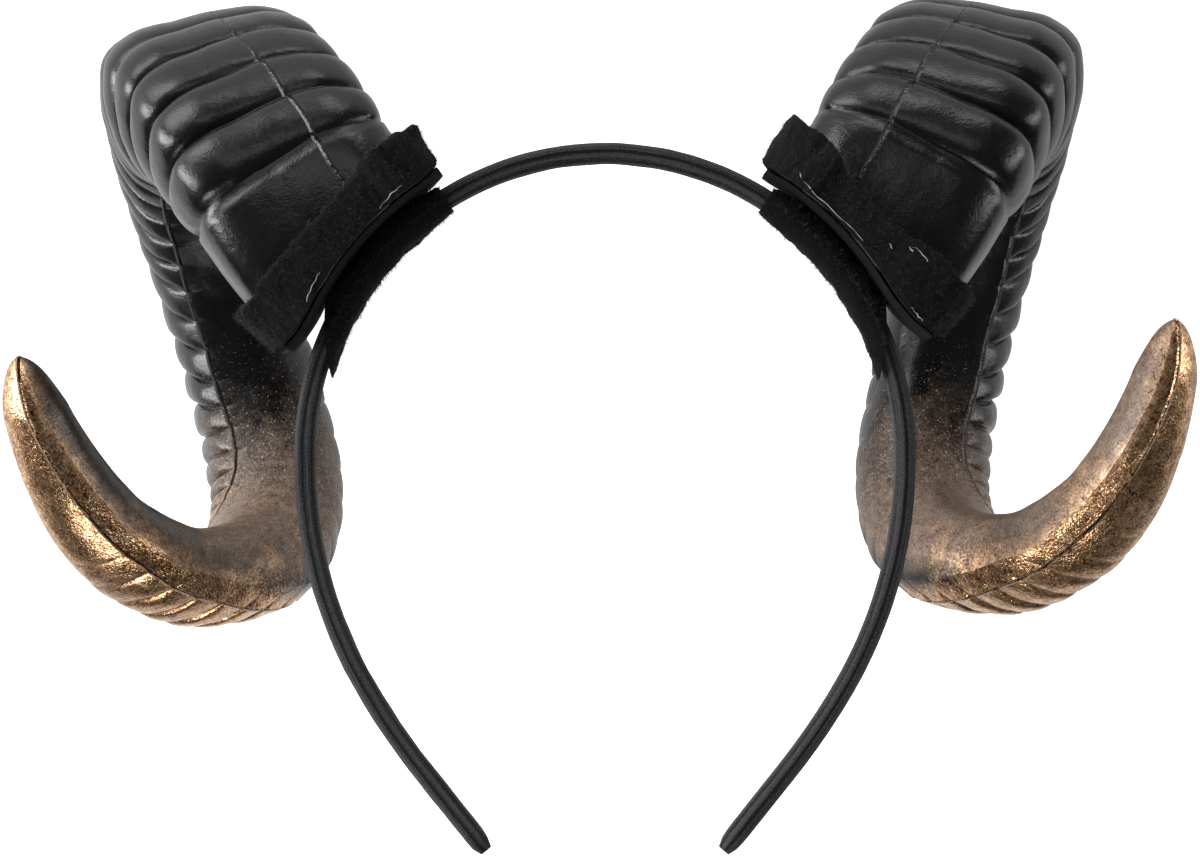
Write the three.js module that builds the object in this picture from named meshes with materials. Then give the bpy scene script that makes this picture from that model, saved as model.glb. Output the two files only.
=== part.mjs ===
import * as THREE from 'three';

// Ram horns headband: two moulded foam ram horns, each in a ragged felt collar, glued on felt pads
// to a ribbon-wrapped plastic headband. Millimetres and degrees.
//
// The pieces are modelled as worn: +X to the right seen from the front, +Y to the back of the head,
// +Z up, the band's arch in the plane Y = 0 and its crown centre at the origin. The last lines lay
// the whole on its back, as it rests by itself on the rear curves of both horns: the front then
// faces up, and the top of the head faces +Y.

// Headband
const BAND_THICKNESS = 4.4;
const BAND_WIDTH = 10;
const BAND_TIP_WIDTH = 7.5;
const CROWN_RADIUS = 64.9;
const TEMPLE_DROP = 1.8;
const TEMPLE_RADIUS = 97;
const TEMPLE_TURN = 30;
const LEG_RADIUS = 150;
const LEG_TURN = 8.5;
const LEG_STRAIGHT = 22;
const BAND_STEP = 6;
const BAND_END = 0.6;
const EDGE_ROUND = 0.45;

// Felt sleeve round the band, felt pad on top of it, and felt collar round the horn's root
const GAP = 0.3;
const SLEEVE_WALL = 1.2;
const SLEEVE_STEPS = 9;
const SLEEVE_SLANT = 13;
const PAD_LENGTH = 50;
const PAD_WIDTH = 34;
const PAD_THICKNESS = 1.6;
const PAD_CURVE = 1.4;
const PAD_FLARE = 5;
const FLARE_FROM = 0.34;
const FLARE_RUN = 0.3;
const PAD_STEPS = 10;
const PAD_END_CUT = 0.35;
const COLLAR_HEIGHT = 8;
const COLLAR_THICKNESS = 2.2;
const PAD_BOTTOM = CROWN_RADIUS + BAND_THICKNESS / 2 + GAP + SLEEVE_WALL + GAP;
const HORN_BOTTOM = PAD_BOTTOM + PAD_THICKNESS + GAP;

// Horn: reaches of its spine from the middle of the root, and the root section's two sizes
const HORN_OUT = 67.6;
const HORN_BACK = 70;
const HORN_HEIGHT = 105;
const HORN_WIDTH = 47;
const HORN_DEPTH = 40;
const TIP_RADIUS = 0.6;
const TIP_ROUND_FROM = 21 / 22;
const SPLAY_FROM = 0.6;
const FIRST_RING = 23.2;
const RING_PITCH = 12.3;
const RING_PITCH_FALL = 0.983;
const RING_COUNT = 32;
const RING_LIFT = 1.15;
const RING_LIFT_FALL = 0.35;
const RING_FADE = 7;
const TIP_STEPS = 9;
const ROOT_SHARE = 0.09;
const FINE_STEPS = 500;

// Lie on the floor: turn about X from the worn pose, then about Y
const REST_PITCH = -114.5;
const REST_ROLL = -0.9;

// Each side's seat on the crown, glued by hand, so the two differ a little: the seat's angle from the
// top of the arch, how far the pad's middle and the horn's root lie past the point where the pad
// touches the band as shares of the pad's length and of the horn's width, how the horn is turned on
// it, how far its tip has splayed out and down as shares of its reaches, and where the sleeve starts
// and ends on the arch
const SIDES = [
  {
    name: 'left',
    sign: -1,
    seat: 49.8,
    padShift: 0.032,
    hornShift: 0.062,
    nod: 2.6,
    lean: 3.4,
    yaw: -4.2,
    tipOut: 0.058,
    tipDown: 0.016,
    sleeveFrom: 32,
    sleeveTo: 74.5,
  },
  {
    name: 'right',
    sign: 1,
    seat: 45,
    padShift: 0.134,
    hornShift: 0.1425,
    nod: 0,
    lean: 0,
    yaw: 0,
    tipOut: 0,
    tipDown: 0,
    sleeveFrom: 32.5,
    sleeveTo: 75,
  },
];

// Seat angle that the horn's spine is measured at
const HORN_SEAT = 45;

// The horn's spine from root to tip: out, back and up are shares of the reaches above, wide and deep
// are shares of the root section, roll turns the section about the spine, slip moves the outer seam
// across it, and tip is the share of the tip's own section
const SPINE = [
  { out: 0.000, back: -0.057, up: 0.000, wide: 1.00, deep: 1.00, roll: 0, slip: -0.16, tip: 0 },
  { out: 0.095, back: -0.060, up: 0.080, wide: 1.00, deep: 1.00, roll: 0, slip: -0.13, tip: 0 },
  { out: 0.182, back: -0.030, up: 0.162, wide: 0.99, deep: 0.98, roll: 3, slip: -0.07, tip: 0 },
  { out: 0.268, back: 0.057, up: 0.244, wide: 0.98, deep: 0.97, roll: 6, slip: 0.00, tip: 0 },
  { out: 0.345, back: 0.186, up: 0.304, wide: 0.96, deep: 0.96, roll: 9, slip: 0.05, tip: 0 },
  { out: 0.400, back: 0.343, up: 0.328, wide: 0.95, deep: 0.95, roll: 10, slip: 0.08, tip: 0 },
  { out: 0.428, back: 0.514, up: 0.313, wide: 0.91, deep: 0.92, roll: 9, slip: 0.10, tip: 0 },
  { out: 0.438, back: 0.671, up: 0.258, wide: 0.86, deep: 0.89, roll: 8, slip: 0.08, tip: 0 },
  { out: 0.430, back: 0.800, up: 0.168, wide: 0.80, deep: 0.85, roll: 6, slip: 0.05, tip: 0 },
  { out: 0.405, back: 0.886, up: 0.057, wide: 0.74, deep: 0.81, roll: 4, slip: 0.00, tip: 0 },
  { out: 0.385, back: 0.935, up: -0.067, wide: 0.66, deep: 0.77, roll: 2, slip: 0.00, tip: 0 },
  { out: 0.348, back: 0.943, up: -0.181, wide: 0.62, deep: 0.74, roll: 0, slip: 0.00, tip: 0 },
  { out: 0.310, back: 0.925, up: -0.305, wide: 0.62, deep: 0.71, roll: 0, slip: -0.04, tip: 0 },
  { out: 0.272, back: 0.868, up: -0.419, wide: 0.63, deep: 0.68, roll: 0, slip: -0.08, tip: 0 },
  { out: 0.262, back: 0.770, up: -0.530, wide: 0.62, deep: 0.65, roll: -5, slip: -0.08, tip: 0.2 },
  { out: 0.300, back: 0.635, up: -0.614, wide: 0.60, deep: 0.64, roll: -18, slip: -0.04, tip: 0.6 },
  { out: 0.390, back: 0.455, up: -0.662, wide: 0.57, deep: 0.57, roll: -32, slip: 0.00, tip: 1 },
  { out: 0.525, back: 0.275, up: -0.664, wide: 0.50, deep: 0.51, roll: -35, slip: 0.00, tip: 1 },
  { out: 0.672, back: 0.120, up: -0.618, wide: 0.48, deep: 0.48, roll: -20, slip: 0.00, tip: 1 },
  { out: 0.803, back: 0.014, up: -0.536, wide: 0.45, deep: 0.45, roll: -7, slip: 0.00, tip: 1 },
  { out: 0.906, back: -0.086, up: -0.406, wide: 0.39, deep: 0.40, roll: 8, slip: 0.00, tip: 1 },
  { out: 0.966, back: -0.143, up: -0.278, wide: 0.32, deep: 0.32, roll: 24, slip: 0.00, tip: 1 },
  { out: 0.994, back: -0.186, up: -0.157, wide: 0.32, deep: 0.32, roll: 30, slip: 0.00, tip: 1 },
];

// The horn's section, from the outer seam round the outward side and back: across and outward are
// shares of half the width and depth, ring is the share of the ring relief that the point takes, and
// slip is the share of the seam's slip that it follows
const SECTION = [
  { across: -0.23, outward: 1.00, ring: 0.55, slip: 1.0 },
  { across: 0.17, outward: 0.99, ring: 0.85, slip: 0.6 },
  { across: 0.60, outward: 0.95, ring: 1.00, slip: 0.2 },
  { across: 0.90, outward: 0.74, ring: 1.00, slip: 0.0 },
  { across: 1.00, outward: 0.30, ring: 1.00, slip: 0.0 },
  { across: 0.97, outward: -0.20, ring: 1.00, slip: 0.0 },
  { across: 0.84, outward: -0.60, ring: 0.80, slip: 0.0 },
  { across: 0.60, outward: -0.88, ring: 0.15, slip: 0.0 },
  { across: 0.30, outward: -0.95, ring: 0.00, slip: 0.0 },
  { across: -0.10, outward: -0.96, ring: 0.00, slip: 0.0 },
  { across: -0.48, outward: -0.87, ring: 0.00, slip: 0.0 },
  { across: -0.78, outward: -0.61, ring: 0.00, slip: 0.0 },
  { across: -0.96, outward: -0.18, ring: 0.10, slip: 0.0 },
  { across: -1.00, outward: 0.26, ring: 0.35, slip: 0.0 },
  { across: -0.93, outward: 0.72, ring: 0.50, slip: 0.0 },
  { across: -0.62, outward: 0.95, ring: 0.60, slip: 0.4 },
];

// The tip's section, point for point with the one above: its outer seam is a keel, and between the
// seam and a crease on the inner side of the horn runs a flat bevel
const TIP_SECTION = [
  { across: -0.23, outward: 1.03, ring: 0.30 },
  { across: 0.18, outward: 0.92, ring: 0.80 },
  { across: 0.53, outward: 0.74, ring: 1.00 },
  { across: 0.82, outward: 0.48, ring: 1.00 },
  { across: 0.96, outward: 0.14, ring: 1.00 },
  { across: 0.96, outward: -0.20, ring: 0.90 },
  { across: 0.80, outward: -0.58, ring: 0.40 },
  { across: 0.56, outward: -0.84, ring: 0.00 },
  { across: 0.24, outward: -0.97, ring: 0.00 },
  { across: -0.14, outward: -0.98, ring: 0.00 },
  { across: -0.50, outward: -0.88, ring: 0.00 },
  { across: -0.80, outward: -0.62, ring: 0.00 },
  { across: -0.97, outward: -0.18, ring: 0.00 },
  { across: -0.90, outward: 0.34, ring: 0.00 },
  { across: -0.66, outward: 0.79, ring: 0.00 },
  { across: -0.45, outward: 0.92, ring: 0.05 },
];

// Relief along one ring, from one groove to the next, and on the way from the root to the first
const RING_PROFILE = [
  { at: 0.00, lift: -1.0 },
  { at: 0.30, lift: 0.7 },
  { at: 0.74, lift: 0.9 },
];
const LEAD_IN = [
  { at: 0.00, lift: 0.0 },
  { at: 0.30, lift: 0.0 },
  { at: 0.62, lift: 0.4 },
];

// The collar's cut edge and how far it stands off the horn, at each point of the section: tall is a
// share of its height and stand a share of its thickness
const COLLAR = [
  { tall: 0.96, stand: 0.1 },
  { tall: 0.90, stand: 0.2 },
  { tall: 1.00, stand: 0.1 },
  { tall: 1.04, stand: 0.3 },
  { tall: 1.06, stand: 0.2 },
  { tall: 0.96, stand: 0.3 },
  { tall: 1.00, stand: 0.1 },
  { tall: 0.94, stand: 0.2 },
  { tall: 0.98, stand: 0.1 },
  { tall: 0.92, stand: 0.2 },
  { tall: 1.00, stand: 0.1 },
  { tall: 0.95, stand: 0.2 },
  { tall: 1.02, stand: 0.4 },
  { tall: 1.10, stand: 0.9 },
  { tall: 1.08, stand: 0.8 },
  { tall: 1.04, stand: 0.3 },
];

const feltMaterial = new THREE.MeshStandardMaterial({ color: 0x141414, roughness: 0.95 });
const bandMaterial = new THREE.MeshStandardMaterial({ color: 0x121214, roughness: 0.8 });
const foamMaterial = new THREE.MeshStandardMaterial({ color: 0x1b1b1b, roughness: 0.45 });

const degrees = THREE.MathUtils.degToRad;

// Direction that the horn's root faces before it is seated
const ROOT_NORMAL = new THREE.Vector3(Math.sin(degrees(HORN_SEAT)), 0, Math.cos(degrees(HORN_SEAT)));

// Geometry of a grid of points that closes round its rows, with its ends capped or joined up
function gridGeometry(rows, joinedEnds) {
  const around = rows[0].length;
  const position = rows.flat().flatMap((point) => [point.x, point.y, point.z]);
  const index = [];
  const last = joinedEnds ? rows.length : rows.length - 1;
  for (let i = 0; i < last; i += 1) {
    const next = (i + 1) % rows.length;
    for (let j = 0; j < around; j += 1) {
      const beside = (j + 1) % around;
      const a = i * around + j;
      const b = i * around + beside;
      const c = next * around + beside;
      const d = next * around + j;
      index.push(a, b, c, a, c, d);
    }
  }
  if (!joinedEnds) {
    for (const end of [0, rows.length - 1]) {
      const middle = new THREE.Vector3();
      rows[end].forEach((point) => middle.addScaledVector(point, 1 / around));
      const hub = position.length / 3;
      position.push(middle.x, middle.y, middle.z);
      for (let j = 0; j < around; j += 1) {
        const a = end * around + j;
        const b = end * around + ((j + 1) % around);
        index.push(...(end === 0 ? [hub, b, a] : [hub, a, b]));
      }
    }
  }
  const geometry = new THREE.BufferGeometry();
  geometry.setAttribute('position', new THREE.Float32BufferAttribute(position, 3));
  geometry.setIndex(volumeOf(position, index) < 0 ? index.reverse() : index);
  geometry.computeVertexNormals();
  return geometry;
}

function volumeOf(position, index) {
  const corner = [new THREE.Vector3(), new THREE.Vector3(), new THREE.Vector3()];
  let volume = 0;
  for (let i = 0; i < index.length; i += 3) {
    corner.forEach((point, k) => point.fromArray(position, 3 * index[i + k]));
    volume += corner[0].dot(corner[1].clone().cross(corner[2])) / 6;
  }
  return volume;
}

function namedMesh(name, geometry, material) {
  const mesh = new THREE.Mesh(geometry, material);
  mesh.name = name;
  return mesh;
}

// Centre line of half the band, from the top of the arch to its tip: tangent arcs, then a straight
function halfBandPath() {
  const arcs = [
    { radius: CROWN_RADIUS, turn: 90, straight: TEMPLE_DROP },
    { radius: TEMPLE_RADIUS, turn: TEMPLE_TURN, straight: 0 },
    { radius: LEG_RADIUS, turn: LEG_TURN, straight: LEG_STRAIGHT },
  ];
  const path = [];
  let heading = 0;
  let x = 0;
  let z = CROWN_RADIUS;
  path.push({ x, z, heading });
  for (const arc of arcs) {
    const steps = Math.max(2, Math.round(arc.turn / BAND_STEP));
    const turn = degrees(arc.turn) / steps;
    for (let i = 0; i < steps; i += 1) {
      const chord = 2 * arc.radius * Math.sin(turn / 2);
      x += chord * Math.cos(heading + turn / 2);
      z -= chord * Math.sin(heading + turn / 2);
      heading += turn;
      path.push({ x, z, heading });
    }
    if (arc.straight > 0) {
      x += arc.straight * Math.cos(heading);
      z -= arc.straight * Math.sin(heading);
      path.push({ x, z, heading });
    }
  }
  return path;
}

// Rounded section of the band or of the sleeve on it, as {radial, back} from the middle
function roundedSection(thickness, width) {
  const round = thickness * EDGE_ROUND;
  const points = [];
  for (const [radial, back, start] of [[1, 1, 0], [-1, 1, 90], [-1, -1, 180], [1, -1, 270]]) {
    for (const step of [0, 45, 90]) {
      const angle = degrees(start + step);
      points.push({
        radial: radial * (thickness / 2 - round) + round * Math.cos(angle),
        back: back * (width / 2 - round) + round * Math.sin(angle),
      });
    }
  }
  return points;
}

function bandRing(spot, sign, section) {
  return section.map((point) => new THREE.Vector3(
    sign * (spot.x + point.radial * Math.sin(spot.heading)),
    point.back,
    spot.z + point.radial * Math.cos(spot.heading),
  ));
}

function headband() {
  const half = halfBandPath();
  const tip = half.length - 1;
  const rows = [];
  for (let i = -tip; i <= tip; i += 1) {
    const spot = half[Math.abs(i)];
    const share = Math.abs(i) / tip;
    const width = THREE.MathUtils.lerp(BAND_WIDTH, BAND_TIP_WIDTH, share ** 2);
    const end = Math.abs(i) === tip ? BAND_END : 1;
    rows.push(bandRing(spot, Math.sign(i) || 1, roundedSection(BAND_THICKNESS * end, width * end)));
  }
  return gridGeometry(rows, false);
}

// Felt sleeve: the band's section grown by a gap and by a wall, along an arc of the crown. Its lower
// end is cut at a slant, so that it reaches further down on the inner side.
function sleeve(side) {
  const outer = [];
  const inner = [];
  const hole = roundedSection(BAND_THICKNESS + 2 * GAP, BAND_WIDTH + 2 * GAP);
  const skin = roundedSection(
    BAND_THICKNESS + 2 * GAP + 2 * SLEEVE_WALL,
    BAND_WIDTH + 2 * GAP + 2 * SLEEVE_WALL,
  );
  const reach = BAND_THICKNESS / 2 + GAP + SLEEVE_WALL;
  const sleevePoint = (point, share) => {
    const slant = (SLEEVE_SLANT * share * (point.radial + reach)) / (2 * reach);
    const heading = degrees(THREE.MathUtils.lerp(side.sleeveFrom, side.sleeveTo - slant, share));
    const radius = CROWN_RADIUS + point.radial;
    return new THREE.Vector3(side.sign * radius * Math.sin(heading), point.back, radius * Math.cos(heading));
  };
  for (let i = 0; i <= SLEEVE_STEPS; i += 1) {
    outer.push(skin.map((point) => sleevePoint(point, i / SLEEVE_STEPS)));
    inner.push(hole.map((point) => sleevePoint(point, i / SLEEVE_STEPS)));
  }
  return gridGeometry([...outer, ...inner.reverse()], true);
}

// Direction that a side's seat faces
function seatNormal(side) {
  const angle = degrees(side.seat);
  return new THREE.Vector3(side.sign * Math.sin(angle), 0, Math.cos(angle));
}

// A point in the seat's own frame: along the pad from where it touches the band, back, and lifted
// off the crown's centre
function seatPoint(side, along, back, lift) {
  const angle = degrees(side.seat);
  const point = new THREE.Vector3(side.sign * along * Math.cos(angle), back, -along * Math.sin(angle));
  return point.addScaledVector(seatNormal(side), lift);
}

// How far the pad has bowed down at a place along it: it follows the band, and its ends flare off
function padDrop(along) {
  const flare = Math.max(0, (Math.abs(along) / PAD_LENGTH - FLARE_FROM) / FLARE_RUN);
  return along ** 2 / (2 * PAD_CURVE * PAD_LENGTH) - PAD_FLARE * flare ** 2;
}

// Felt pad: an oval-ended strip that lies on the sleeve
function feltPad(side) {
  const rows = [];
  for (let i = 0; i <= PAD_STEPS; i += 1) {
    const share = (2 * i) / PAD_STEPS - 1;
    const along = (side.padShift + share / 2) * PAD_LENGTH;
    const half = (PAD_WIDTH / 2) * Math.sqrt(1 - PAD_END_CUT * share ** 6);
    const bottom = PAD_BOTTOM - padDrop(along);
    const top = bottom + PAD_THICKNESS;
    rows.push([
      seatPoint(side, along, -half, bottom),
      seatPoint(side, along, half, bottom),
      seatPoint(side, along, half, top),
      seatPoint(side, along, -half, top),
    ]);
  }
  return gridGeometry(rows, false);
}

// The spine as one smooth curve through the table, with every column blended the same way
function spineAt(share) {
  const last = SPINE.length - 1;
  const spot = THREE.MathUtils.clamp(share, 0, 1) * last;
  const i = Math.min(Math.floor(spot), last - 1);
  const t = spot - i;
  const rows = [SPINE[Math.max(i - 1, 0)], SPINE[i], SPINE[i + 1], SPINE[Math.min(i + 2, last)]];
  const blended = {};
  for (const column of Object.keys(SPINE[0])) {
    const [a, b, c, d] = rows.map((row) => row[column]);
    const slopeStart = (c - a) / 2;
    const slopeEnd = (d - b) / 2;
    const bend = 3 * (c - b) - 2 * slopeStart - slopeEnd;
    const twist = 2 * (b - c) + slopeStart + slopeEnd;
    blended[column] = b + t * (slopeStart + t * (bend + t * twist));
  }
  return blended;
}

function spinePoint(share) {
  const row = spineAt(share);
  return new THREE.Vector3(row.out * HORN_OUT, row.back * HORN_BACK, row.up * HORN_HEIGHT);
}

// Frame of the section at a share of the spine: forward along it, across to the outward side, and
// outward from the middle of the curl. Over the root's share it turns from the pad's plane.
function hornFrame(share) {
  const ahead = spinePoint(Math.min(share + 1 / FINE_STEPS, 1));
  const behind = spinePoint(Math.max(share - 1 / FINE_STEPS, 0));
  const forward = ahead.sub(behind).normalize();
  const settle = THREE.MathUtils.smoothstep(share, 0, ROOT_SHARE);
  forward.lerpVectors(ROOT_NORMAL, forward, settle).normalize();
  const across = new THREE.Vector3(1, 0, 0);
  across.addScaledVector(forward, -across.dot(forward)).normalize();
  const roll = degrees(spineAt(share).roll);
  across.applyAxisAngle(forward, roll);
  const outward = new THREE.Vector3().crossVectors(across, forward).normalize();
  return { middle: spinePoint(share), forward, across, outward };
}

// Section of the horn at a share of the spine, with the ring relief and a growth all round
function hornSection(share, lift, grow) {
  const frame = hornFrame(share);
  const row = spineAt(share);
  const end = Math.max(0, (share - TIP_ROUND_FROM) / (1 - TIP_ROUND_FROM));
  const blunt = (1 - end ** 1.5) ** 0.8;
  const halfWidth = Math.max((row.wide * HORN_WIDTH * blunt) / 2, TIP_RADIUS) + grow;
  const halfDepth = Math.max((row.deep * HORN_DEPTH * blunt) / 2, TIP_RADIUS) + grow;
  return SECTION.map((point, corner) => {
    const tip = TIP_SECTION[corner];
    const across = THREE.MathUtils.lerp(point.across, tip.across, row.tip) + point.slip * row.slip;
    const outward = THREE.MathUtils.lerp(point.outward, tip.outward, row.tip);
    const relief = lift * THREE.MathUtils.lerp(point.ring, tip.ring, row.tip);
    return frame.middle.clone()
      .addScaledVector(frame.across, across * (halfWidth + relief))
      .addScaledVector(frame.outward, outward * (halfDepth + relief));
  });
}

// Stations along the horn: smooth at the root and near the tip, grooved and crested in between.
// Rings are spaced along the outer seam, where their pitch is even.
function hornStations() {
  const seam = [];
  let length = 0;
  let before = null;
  for (let i = 0; i <= FINE_STEPS; i += 1) {
    const point = hornSection(i / FINE_STEPS, 0, 0)[0];
    length += before ? point.distanceTo(before) : 0;
    seam.push(length);
    before = point;
  }
  const shareAt = (distance) => {
    const i = seam.findIndex((value) => value >= distance);
    return i < 0 ? 1 : i / FINE_STEPS;
  };
  const stations = LEAD_IN.map((step) => ({ share: shareAt(FIRST_RING * step.at), lift: step.lift }));
  let start = FIRST_RING;
  let pitch = RING_PITCH;
  for (let ring = 0; ring < RING_COUNT; ring += 1) {
    const fade = Math.min(1, (RING_COUNT - ring) / RING_FADE);
    const size = RING_LIFT * (pitch / RING_PITCH) ** RING_LIFT_FALL * fade;
    for (const step of RING_PROFILE) {
      stations.push({ share: shareAt(start + step.at * pitch), lift: step.lift * size });
    }
    start += pitch;
    pitch *= RING_PITCH_FALL;
  }
  const smoothFrom = shareAt(start);
  for (let i = 0; i <= TIP_STEPS; i += 1) {
    const along = Math.sin((i / TIP_STEPS) * (Math.PI / 2));
    stations.push({ share: THREE.MathUtils.lerp(smoothFrom, 1, along), lift: 0 });
  }
  return stations;
}

// Moves a point of the horn's own frame, which is the right horn's, to a side's seat
function seatHornPoint(side, point, share) {
  const turn = new THREE.Euler(degrees(side.nod), degrees(side.lean), degrees(side.yaw), 'ZYX');
  const turned = point.clone().applyEuler(turn);
  const bend = Math.max(0, (share - SPLAY_FROM) / (1 - SPLAY_FROM)) ** 2;
  turned.x += bend * side.tipOut * HORN_OUT;
  turned.z -= bend * side.tipDown * HORN_HEIGHT;
  turned.x *= side.sign;
  return turned.add(seatPoint(side, side.hornShift * HORN_WIDTH, 0, HORN_BOTTOM));
}

// Lowers a point to the flat cut on the pad, or to a height over it
function dropToPad(side, point, height) {
  const normal = seatNormal(side);
  return point.addScaledVector(normal, HORN_BOTTOM + height - point.dot(normal));
}

function horn(side) {
  const rows = hornStations().map((station) => hornSection(station.share, station.lift, 0)
    .map((point) => seatHornPoint(side, point, station.share)));
  rows[0].forEach((point) => dropToPad(side, point, 0));
  return gridGeometry(rows, false);
}

// Share of the spine where one point of the grown section lies at a height over the horn's flat root
function shareAtLift(height, corner, grow) {
  let share = 0;
  while (share < 1 && hornSection(share, 0, grow)[corner].dot(ROOT_NORMAL) < height) {
    share += 1 / FINE_STEPS;
  }
  return share;
}

// Felt collar: a strip standing round the horn's root, with an uneven cut edge. Its lower edge
// follows the pad.
function collar(side) {
  const loops = [
    { rise: 0, grow: 0 },
    { rise: 0.5, grow: 0 },
    { rise: 1, grow: 0 },
    { rise: 1, grow: 1 },
    { rise: 0.5, grow: 1 },
    { rise: 0, grow: 1 },
  ];
  const rows = loops.map((loop) => COLLAR.map((edge, corner) => {
    const grow = GAP + (edge.stand + loop.grow) * COLLAR_THICKNESS;
    const height = loop.rise * edge.tall * COLLAR_HEIGHT;
    const share = shareAtLift(height, corner, grow);
    const point = seatHornPoint(side, hornSection(share, 0, grow)[corner], share);
    const along = side.sign * point.x * Math.cos(degrees(side.seat)) - point.z * Math.sin(degrees(side.seat));
    return loop.rise === 0 ? dropToPad(side, point, -padDrop(along)) : point;
  }));
  return gridGeometry(rows, true);
}

const worn = new THREE.Group();
worn.add(namedMesh('headband', headband(), bandMaterial));
for (const side of SIDES) {
  worn.add(namedMesh(`band_sleeve_${side.name}`, sleeve(side), feltMaterial));
  worn.add(namedMesh(`felt_pad_${side.name}`, feltPad(side), feltMaterial));
  worn.add(namedMesh(`horn_${side.name}`, horn(side), foamMaterial));
  worn.add(namedMesh(`felt_collar_${side.name}`, collar(side), feltMaterial));
}

worn.rotation.set(degrees(REST_PITCH), degrees(REST_ROLL), 0, 'YXZ');

// Stood on the floor with the middle of its base at the origin
const reach = new THREE.Box3().setFromObject(worn, true);
const middle = reach.getCenter(new THREE.Vector3());
worn.position.set(-middle.x, -middle.y, -reach.min.z);

const part = new THREE.Group();
part.add(worn);
part.updateMatrixWorld(true);

export default part;
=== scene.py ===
from math import cos, pi, radians, sin

import bpy
import numpy as np
from mathutils import Matrix, Vector


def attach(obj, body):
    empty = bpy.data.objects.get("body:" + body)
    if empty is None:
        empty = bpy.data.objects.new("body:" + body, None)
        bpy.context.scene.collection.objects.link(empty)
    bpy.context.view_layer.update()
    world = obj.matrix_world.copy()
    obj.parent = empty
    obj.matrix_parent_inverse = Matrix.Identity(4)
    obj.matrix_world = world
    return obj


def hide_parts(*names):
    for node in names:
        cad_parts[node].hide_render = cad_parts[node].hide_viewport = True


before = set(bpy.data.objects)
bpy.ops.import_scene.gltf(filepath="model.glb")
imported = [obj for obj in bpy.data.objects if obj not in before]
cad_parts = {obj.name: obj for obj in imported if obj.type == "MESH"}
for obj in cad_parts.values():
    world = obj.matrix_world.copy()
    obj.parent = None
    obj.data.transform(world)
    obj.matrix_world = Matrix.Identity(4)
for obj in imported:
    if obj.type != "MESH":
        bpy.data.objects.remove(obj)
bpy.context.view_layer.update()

# How it lies: the part rests on its back on the rear curves of both horns, face up.
# Every piece is shaped as worn, in millimetres, with x to the right horn, y to the back of the head,
# z up and the middle of the arch's crown at the origin, and is then laid down by the same turn.
REST_PITCH = radians(-114.5)
REST_ROLL = radians(-0.9)
CROWN_LIES_AT = Vector((0.001063, -0.003142, 0.093918))
rest_turn = Matrix.Rotation(REST_ROLL, 4, "Y") @ Matrix.Rotation(REST_PITCH, 4, "X")
rest = Matrix.Translation(CROWN_LIES_AT) @ rest_turn @ Matrix.Scale(0.001, 4)


def laid_down(points):
    turn = np.array(rest)
    return points @ turn[:3, :3].T + turn[:3, 3]


# Headband: a springy arch of plastic, 4.4 mm thick and 10 mm wide, a little narrower at the tips.
# Black velvet ribbon is wrapped round it lengthwise and glued, and the ribbon's borders and folds
# stand up as fine lengthwise ridges along the front and back edges.
BAND_THICKNESS = 4.4
BAND_WIDTH = 10.0
BAND_TIP_WIDTH = 7.5
BAND_END = 0.6
CROWN_RADIUS = 64.9
BAND_ARCS = [
    {"radius": CROWN_RADIUS, "turn": 90.0, "straight": 1.8},
    {"radius": 97.0, "turn": 30.0, "straight": 0.0},
    {"radius": 150.0, "turn": 8.5, "straight": 22.0},
]
RIBBON_RIDGES = [
    {"radial": 0.78, "height": 0.16},
    {"radial": 0.10, "height": -0.20},
    {"radial": -0.40, "height": 0.12},
    {"radial": -0.80, "height": -0.14},
]
RIBBON_RIDGE_WIDTH = 0.13
BAND_EDGE_ROUND = 0.45


def half_band_path(step):
    """Points (x, z, heading) of the band's centre line from the top of the arch to one tip."""
    spots = [(0.0, CROWN_RADIUS, 0.0)]
    for arc in BAND_ARCS:
        steps = max(2, round(arc["turn"] / step))
        turn = radians(arc["turn"]) / steps
        chord = 2 * arc["radius"] * sin(turn / 2)
        for _ in range(steps):
            x, z, heading = spots[-1]
            x += chord * cos(heading + turn / 2)
            z -= chord * sin(heading + turn / 2)
            spots.append((x, z, heading + turn))
        straight_steps = round(arc["straight"] / 2)
        for _ in range(straight_steps):
            x, z, heading = spots[-1]
            run = arc["straight"] / straight_steps
            spots.append((x + run * cos(heading), z - run * sin(heading), heading))
    return np.array(spots)


def rounded_outline(thickness, width, corner_points=7, side_points=12):
    """Outline of a rounded bar as (radial, back), evenly run round."""
    curve = thickness * BAND_EDGE_ROUND
    outline = []
    corners = [(1, 1, 0), (-1, 1, 90), (-1, -1, 180), (1, -1, 270)]
    for radial, back, start in corners:
        for step in np.linspace(0, 90, corner_points):
            angle = radians(start + step)
            outline.append((
                radial * (thickness / 2 - curve) + curve * cos(angle),
                back * (width / 2 - curve) + curve * sin(angle),
            ))
        a = np.array(outline[-1])
        following = radians(start + 90)
        turned = corners[(corners.index((radial, back, start)) + 1) % 4]
        b = np.array([
            turned[0] * (thickness / 2 - curve) + curve * cos(following),
            turned[1] * (width / 2 - curve) + curve * sin(following),
        ])
        for share in np.linspace(0, 1, side_points)[1:-1]:
            outline.append(tuple(a + (b - a) * share))
    return np.array(outline)


def wobble(points, size, seed):
    """Smooth random swell of about -1 to 1, from waves about as long as the size."""
    dice = np.random.default_rng(seed)
    swell = np.zeros(points.shape[:-1])
    for _ in range(7):
        direction = dice.normal(size=3)
        direction *= 2 * pi / (size * dice.uniform(0.7, 1.6)) / np.linalg.norm(direction)
        swell += np.sin(points @ direction + dice.uniform(0, 2 * pi))
    return swell / 3.2


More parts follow.
